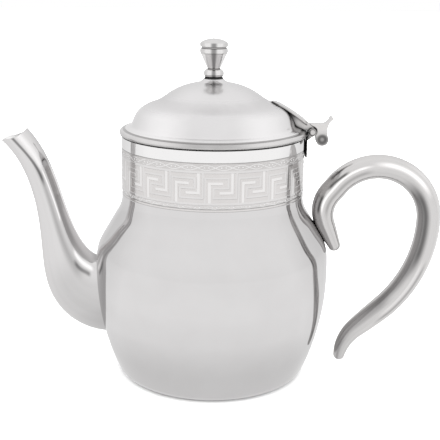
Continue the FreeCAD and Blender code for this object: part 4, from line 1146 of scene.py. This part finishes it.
# Stage: pale floor, white tent, soft light from above, camera
def tent_grey(graph, vector):
    """The tent's grey in a direction."""
    share = graph.calc("MULTIPLY_ADD", graph.azimuth(vector), 0.5 / pi, 0.5)
    angles, greys = zip(*TENT.tones)
    return graph.grey_ramp(share, [angle / 360 + 0.5 for angle in angles], greys)


def tent_strength(graph, ray, depth):
    """The tent's light, weaker past a ray depth, for what the steel shows of itself."""
    again = graph.calc("GREATER_THAN", ray.outputs["Ray Depth"], depth)
    return graph.calc("MULTIPLY_ADD", again, TENT.light * (TENT.inner_share - 1), TENT.light)


def show(graph, output, chosen_rays, usual, special):
    """Shows the special shader to the chosen rays and the usual one to all others."""
    mix = graph.add("MixShader", {"Fac": chosen_rays, 1: usual, 2: special})
    graph.fill(graph.nodes[output], {"Surface": mix.outputs["Shader"]})


def make_floor():
    """White to the eye; in reflections it carries on the tent's tones, with a painted shadow that darkens it
    near the pot.
    """
    bpy.ops.mesh.primitive_plane_add(size=FLOOR.size)
    floor = bpy.context.object
    floor.name = "floor"
    material, graph, shader = new_material("pale_floor")
    graph.fill(shader, {"Base Color": (FLOOR.grey, FLOOR.grey, FLOOR.grey, 1), "Roughness": FLOOR.rough})
    spot = graph.spot()
    reach = graph.add("VectorMath", {0: spot}, operation="LENGTH")
    near = graph.grey_ramp(reach.outputs["Value"], *zip(*FLOOR.tones))
    ray = graph.add("LightPath")
    strength = graph.calc("MULTIPLY", near, tent_strength(graph, ray, FLOOR.depth))
    mirrored = graph.add("Emission", {"Color": tent_grey(graph, spot), "Strength": strength})
    show(graph, "Material Output", ray.outputs["Is Glossy Ray"], shader.outputs["BSDF"],
         mirrored.outputs["Emission"])
    floor.data.materials.append(material)


def make_tent():
    """White light tent, greyer behind the pot, with its own tone overhead."""
    world = bpy.data.worlds.new("tent")
    bpy.context.scene.world = world
    graph = Graph(world)
    way = graph.add("TexCoord").outputs["Generated"]
    edges = (sin(radians(edge)) for edge in (TENT.ceiling_start, TENT.ceiling_end))
    overhead = graph.scale(graph.axes(way)[2], *edges)
    ceiling = (TENT.ceiling, TENT.ceiling, TENT.ceiling, 1)
    tone = graph.add("Mix", {"Factor": overhead, "A": tent_grey(graph, way), "B": ceiling}, data_type="RGBA")
    ray = graph.add("LightPath")
    strength = tent_strength(graph, ray, TENT.depth)
    tent = graph.fill(graph.nodes["Background"], {"Color": tone.outputs["Result"], "Strength": strength})
    backdrop = graph.add("Background", {"Color": (1, 1, 1, 1)})
    show(graph, "World Output", ray.outputs["Is Camera Ray"], tent.outputs["Background"],
         backdrop.outputs["Background"])


def make_sky_light():
    """Soft light from above that whitens the floor and doesn't show in the steel."""
    data = bpy.data.lights.new("ceiling", "SUN")
    data.energy = SKY.energy
    data.angle = radians(SKY.spread)
    link("ceiling", data).visible_glossy = False


def make_camera():
    data = bpy.data.cameras.new("camera")
    data.sensor_width = CAMERA.sensor
    data.lens = CAMERA.lens
    camera = link("camera", data)
    eye = Vector(CAMERA.eye)
    look = (Vector(CAMERA.aim) - eye).to_track_quat("-Z", "Y").to_matrix().to_4x4()
    roll = Matrix.Rotation(radians(CAMERA.roll), 4, "Z")
    camera.matrix_world = Matrix.Translation(eye) @ look @ roll
    bpy.context.scene.camera = camera


body_outline = make_body()
make_chains()
make_spout(body_outline)
make_handle()
boss_top = make_lid()
make_knob(boss_top)
softened("hinge_leaf", "pot", leaf, cell=0.15, rounds=3)
softened("lid_strap", "lid", cast, cell=0.18, rounds=8)
softened("thumb_scroll", "lid", scroll, cell=0.18, rounds=6, pillow=250)
for node, material in (("hinge_pin", cast), ("spout_strainer", plain), ("lid_skirt", plain),
                       ("knob_screw", plain), ("knob_screw_washer", plain), ("knob_gasket", black)):
    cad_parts[node].data.materials.clear()
    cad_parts[node].data.materials.append(material)

make_floor()
make_tent()
make_sky_light()
make_camera()
bpy.context.scene.view_settings.view_transform = "Standard"
